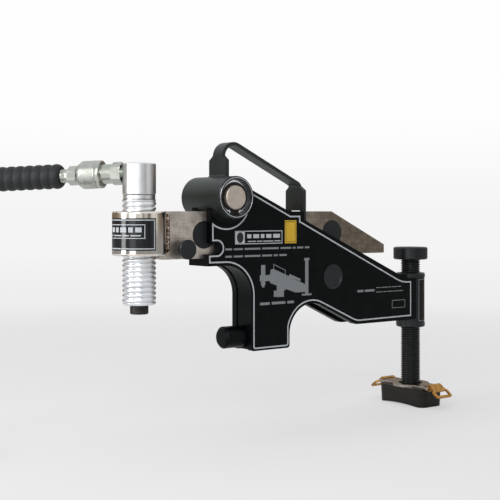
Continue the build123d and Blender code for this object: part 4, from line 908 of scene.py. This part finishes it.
def between_edges(left, right, lay, low=-0.05, high=INK, closed=False):
    """A thin slab between two flat edges of as many points, capped at its ends unless closed."""
    edges = np.stack([left, left, right, right], axis=1)
    height = np.broadcast_to([low, high, high, low], edges.shape[:2])
    grid = lay(edges[..., 0], edges[..., 1], height)
    if closed:
        return grid
    caps = [np.broadcast_to(grid[row].mean(axis=0), grid[row].shape)[None] for row in (0, -1)]
    return np.concatenate([caps[0], grid, caps[1]])


def frame_path(x0, z0, x1, z1, step=1000.0):
    """A rectangle's closed path from its low corner, with points at most step apart."""
    xs, zs = even(x0, x1, step), even(z0, z1, step)
    return np.vstack([np.column_stack([xs[:-1], np.full(len(xs) - 1, z0)]),
                      np.column_stack([np.full(len(zs) - 1, x1), zs[:-1]]),
                      np.column_stack([xs[::-1][:-1], np.full(len(xs) - 1, z1)]),
                      np.column_stack([np.full(len(zs) - 1, x0), zs[::-1][:-1]])])


def dashes(x, z, height, lengths, gap, lay):
    """A row of bars from x along, each of its length, with gaps between."""
    grids = []
    for length in lengths:
        places = even(x, x + length, 2.0)
        grids.append(ribbon(np.column_stack([places, np.full_like(places, z)]), height, lay))
        x += length + gap
    return grids


print("drawing tools ready")

# %% The border line of a side plate
LINE = 2.0
ARCH_X = 108.0
THROAT_Z = 57.0
border = np.vstack([
    [(-4.4, 198.0), (68.3, 164.6), (85.3, 164.8), (85.3, 157.4)],
    eased((85.3, 157.4), (288.5, 63.6), (307.0, 63.6), 12.0),
    [(307.0, 63.6), (307.0, 12.0)],
    eased((307.0, 12.0), (194.0, 11.0), (128.0, 41.5), 8.0),
    arc(ARCH_X, 0.0, 45.5, 64.0, 166.0),
    eased((63.8, 8.0), (63.8, -15.4), (4.2, -15.4), 3.0, 5),
    eased((63.8, -15.4), (4.2, -15.4), (4.2, THROAT_Z), 3.0, 5),
    arc(-42.8, THROAT_Z, 47.0, 0.0, 90.0),
    [(-69.2, 104.0), (-69.2, 112.3)],
    arc(-57.5, 122.8, 10.5, -90.0, 90.0),
    [(-64.2, 133.3)],
    arc(-42.0, 187.2, 39.2, -124.5, 16.0),
])
print("border points", len(border))


# %% Lay the lines on both plates
def on_front(x, z, height):
    """Flat (x, z) laid on the front plate's outer face."""
    return np.stack([x, -HALF_WIDTH - height, z], axis=-1)


def on_rear(x, z, height):
    """Flat (x, z) laid on the rear plate's outer face."""
    return np.stack([x, HALF_WIDTH + height, z], axis=-1)


for name, lay in (("border_front", on_front), ("border_rear", on_rear)):
    piece(name, [ribbon(border[:-1], LINE, lay, closed=True)], "frame", "light_ink", closed=True, sharp=30.0)

# %% [markdown]
# ### Fields on the plates
# A framed field with a light square, a yellow patch, rows of bars, a drawing of a levelling tool,
# and a small frame at the tail. Each bar is a ribbon with only two ends, cut every two
# millimetres, so that the same bar also bends round the collar.

# %% Framed field, square and patch
for side, lay in (("front", on_front), ("rear", on_rear)):
    piece(f"field_frame_{side}", [ribbon(frame_path(-27.2, 127.8, 53.3, 144.9), 1.1, lay, closed=True)],
          "frame", "light_ink", closed=True, sharp=30.0)
    around = np.linspace(-1, 1, 41)
    oval = 7.2 * np.sqrt(np.maximum(1 - around ** 2, 0.0))
    square = ribbon([(-19.2, 127.9), (-19.2, 144.8)], 15.4, lay)
    piece(f"field_square_{side}", [square], "frame", "light_ink", sharp=30.0)
    disc = between_edges(np.column_stack([-19.2 + 5.6 * around, 136.35 + oval]),
                         np.column_stack([-19.2 + 5.6 * around, 136.35 - oval]), lay, 0.0, 0.2)
    piece(f"field_oval_{side}", [disc], "frame", "label_film", sharp=30.0)
    piece(f"yellow_patch_{side}", [ribbon([(68.75, 127.2), (68.75, 159.4)], 20.8, lay, high=0.14)],
          "frame", "yellow_ink", sharp=30.0)
    rule = [ribbon(frame_path(60.4, 129.2, 77.1, 157.4), 0.7, lay, high=0.18, closed=True)]
    piece(f"patch_rule_{side}", rule, "frame", "label_film", closed=True, sharp=30.0)

# %% Bars in the framed field
for side, lay in (("front", on_front), ("rear", on_rear)):
    grids = dashes(-7.2, 138.0, 5.4, (7, 10, 6, 9, 12), 3.2, lay) + dashes(-6.4, 131.0, 1.3, (14, 9, 17, 11), 2.0, lay)
    piece(f"field_bars_{side}", grids, "frame", "light_ink", sharp=30.0)

# %% Rows of bars
ROWS = [
    (-43.8, 120.9, 2.6, (11, 15, 27, 29, 19, 5, 11, 8), 3.1),
    (-43.8, 111.1, 2.6, (11, 15, 27, 17, 7, 13), 3.1),
    (14.6, 44.8, 3.6, (17, 24, 12), 3.6),
    (196.0, 54.0, 3.4, (12, 20), 2.6),
    (234.1, 57.6, 1.1, (9, 13, 6, 11, 7), 1.6),
    (234.1, 51.0, 1.1, (12, 7, 14, 9, 8), 1.6),
]
for side, lay in (("front", on_front), ("rear", on_rear)):
    grids = [grid for x, z, height, lengths, gap in ROWS for grid in dashes(x, z, height, lengths, gap, lay)]
    piece(f"print_bars_{side}", grids, "frame", "dim_ink", sharp=30.0)
    piece(f"tail_frame_{side}", [ribbon(frame_path(267.5, 25.5, 294.5, 36.8), 0.8, lay, closed=True)],
          "frame", "dim_ink", closed=True, sharp=30.0)

# %% The drawing of a levelling tool
LEVELS = 0.01
BODY_TOP = np.array([(32.0, 84.2), (33.4, 91.2), (37.6, 92.4), (59.7, 83.6), (96.0, 68.4)])
BODY_LOW = np.array([(32.0, 73.1), (43.4, 69.2), (58.0, 61.4), (61.2, 63.2), (77.0, 57.8), (96.0, 57.6)])
xs = np.union1d(even(32.0, 96.0, 1.0), np.union1d(BODY_TOP[:, 0], BODY_LOW[:, 0]))
top = np.column_stack([xs, np.interp(xs, BODY_TOP[:, 0], BODY_TOP[:, 1])])
low = np.column_stack([xs, np.interp(xs, BODY_LOW[:, 0], BODY_LOW[:, 1])])
strokes = [
    ([(20.1, 98.1), (20.1, 70.2)], 7.2), ([(20.1, 71.0), (20.1, 67.4)], 4.2), ([(18.6, 84.4), (18.6, 75.8)], 8.4),
    ([(22.0, 80.0), (33.0, 80.0)], 8.4), ([(50.3, 70.0), (50.3, 52.8)], 12.6), ([(38.8, 57.8), (46.0, 57.8)], 8.6),
    ([(66.0, 82.6), (86.6, 74.9)], 3.4), ([(98.3, 104.6), (98.3, 54.0)], 6.0), ([(93.6, 104.2), (103.0, 104.2)], 3.4),
    ([(89.2, 53.9), (106.8, 53.9)], 2.6),
]
for side, lay in (("front", on_front), ("rear", on_rear)):
    grids = [between_edges(top, low, lay)]
    grids += [ribbon(path, width, lay, high=INK + LEVELS * (number + 1))
              for number, (path, width) in enumerate(strokes)]
    grids.append(ribbon([(38.7, 91.0), (38.4, 98.4), (59.0, 90.0), (59.0, 84.4)], 0.9, lay, high=INK - LEVELS))
    piece(f"tool_drawing_{side}", grids, "frame", "dim_ink", sharp=30.0)

# %% [markdown]
# ### The collar's label
# A glossy black film goes round the outer half of the collar. On a cylinder a flat drawing is
# wrapped: the distance along it over the radius is the angle.

# %% Wrap the label on the collar
def on_collar(run, z, height):
    """Flat (run, z) wrapped on the collar; run is measured clockwise from the +X side."""
    turn = -run / COLLAR_RADIUS
    radius = COLLAR_RADIUS + height
    return np.stack([CYLINDER_X + radius * np.cos(turn), radius * np.sin(turn), z], axis=-1)


DEGREE = math.radians(1) * COLLAR_RADIUS
start, end = 84.0 * DEGREE, 256.0 * DEGREE
runs = even(start, end, 1.0)
edge = np.ones_like(runs)
film = between_edges(np.column_stack([runs, 163.4 * edge]), np.column_stack([runs, 122.4 * edge]), on_collar,
                     -0.1, FILM)
piece("collar_label", [film], "arm", "label_film", sharp=30.0)
lines = [ribbon(frame_path(start + 2.2, 124.8, end - 2.2, 161.0, 1.0), 1.3, on_collar, 0.0, FILM + 0.08, True),
         ribbon(frame_path(109.5 * DEGREE, 138.0, 230.0 * DEGREE, 155.0, 1.0), 1.0, on_collar, 0.0, FILM + 0.08, True)]
piece("collar_label_lines", lines, "arm", "light_ink", closed=True, sharp=30.0)
bars = dashes(70.5, 148.6, 6.2, (8, 6, 9, 5, 8, 7, 5), 3.0, on_collar)
bars += dashes(71.5, 141.4, 1.5, (13, 9, 16, 10, 8), 2.2, on_collar)
piece("collar_label_bars", bars, "arm", "light_ink", sharp=30.0)

# %% [markdown]
# ### The leg boss's label
# A tall film wraps the outer side of the boss, inside the shallow waist between its shoulders.

# %% Wrap the label on the boss
WAIST = 21.7
BOSS_RADIUS = 22.5


def on_boss(run, z, height):
    """Flat (run, z) wrapped on the boss about the +X side; the radius follows the waist's step."""
    turn = run / BOSS_RADIUS
    radius = np.interp(np.abs(turn), np.radians([0, 67.5, 70.5, 180]), [WAIST, WAIST, BOSS_RADIUS, BOSS_RADIUS])
    return np.stack([LEG_X + (radius + height) * np.cos(turn), (radius + height) * np.sin(turn), z], axis=-1)


REACH = math.radians(104) * BOSS_RADIUS
runs = even(-REACH, REACH, 0.8)
edge = np.ones_like(runs)
film = between_edges(np.column_stack([runs, 67.6 * edge]), np.column_stack([runs, 0.6 * edge]), on_boss,
                     -0.1, FILM)
piece("boss_label", [film], "frame", "boss_film", sharp=30.0)
lines = [ribbon(frame_path(-REACH + 1.4, 2.2, REACH - 1.4, 66.0, 0.8), 0.9, on_boss, 0.0, FILM + 0.08, True),
         ribbon(frame_path(-25.0, 46.5, 25.0, 60.0, 0.8), 0.8, on_boss, 0.0, FILM + 0.08, True)]
piece("boss_label_lines", lines, "frame", "dim_ink", closed=True, sharp=30.0)

# %% Finish: the Standard view transform
bpy.context.scene.view_settings.view_transform = "Standard"
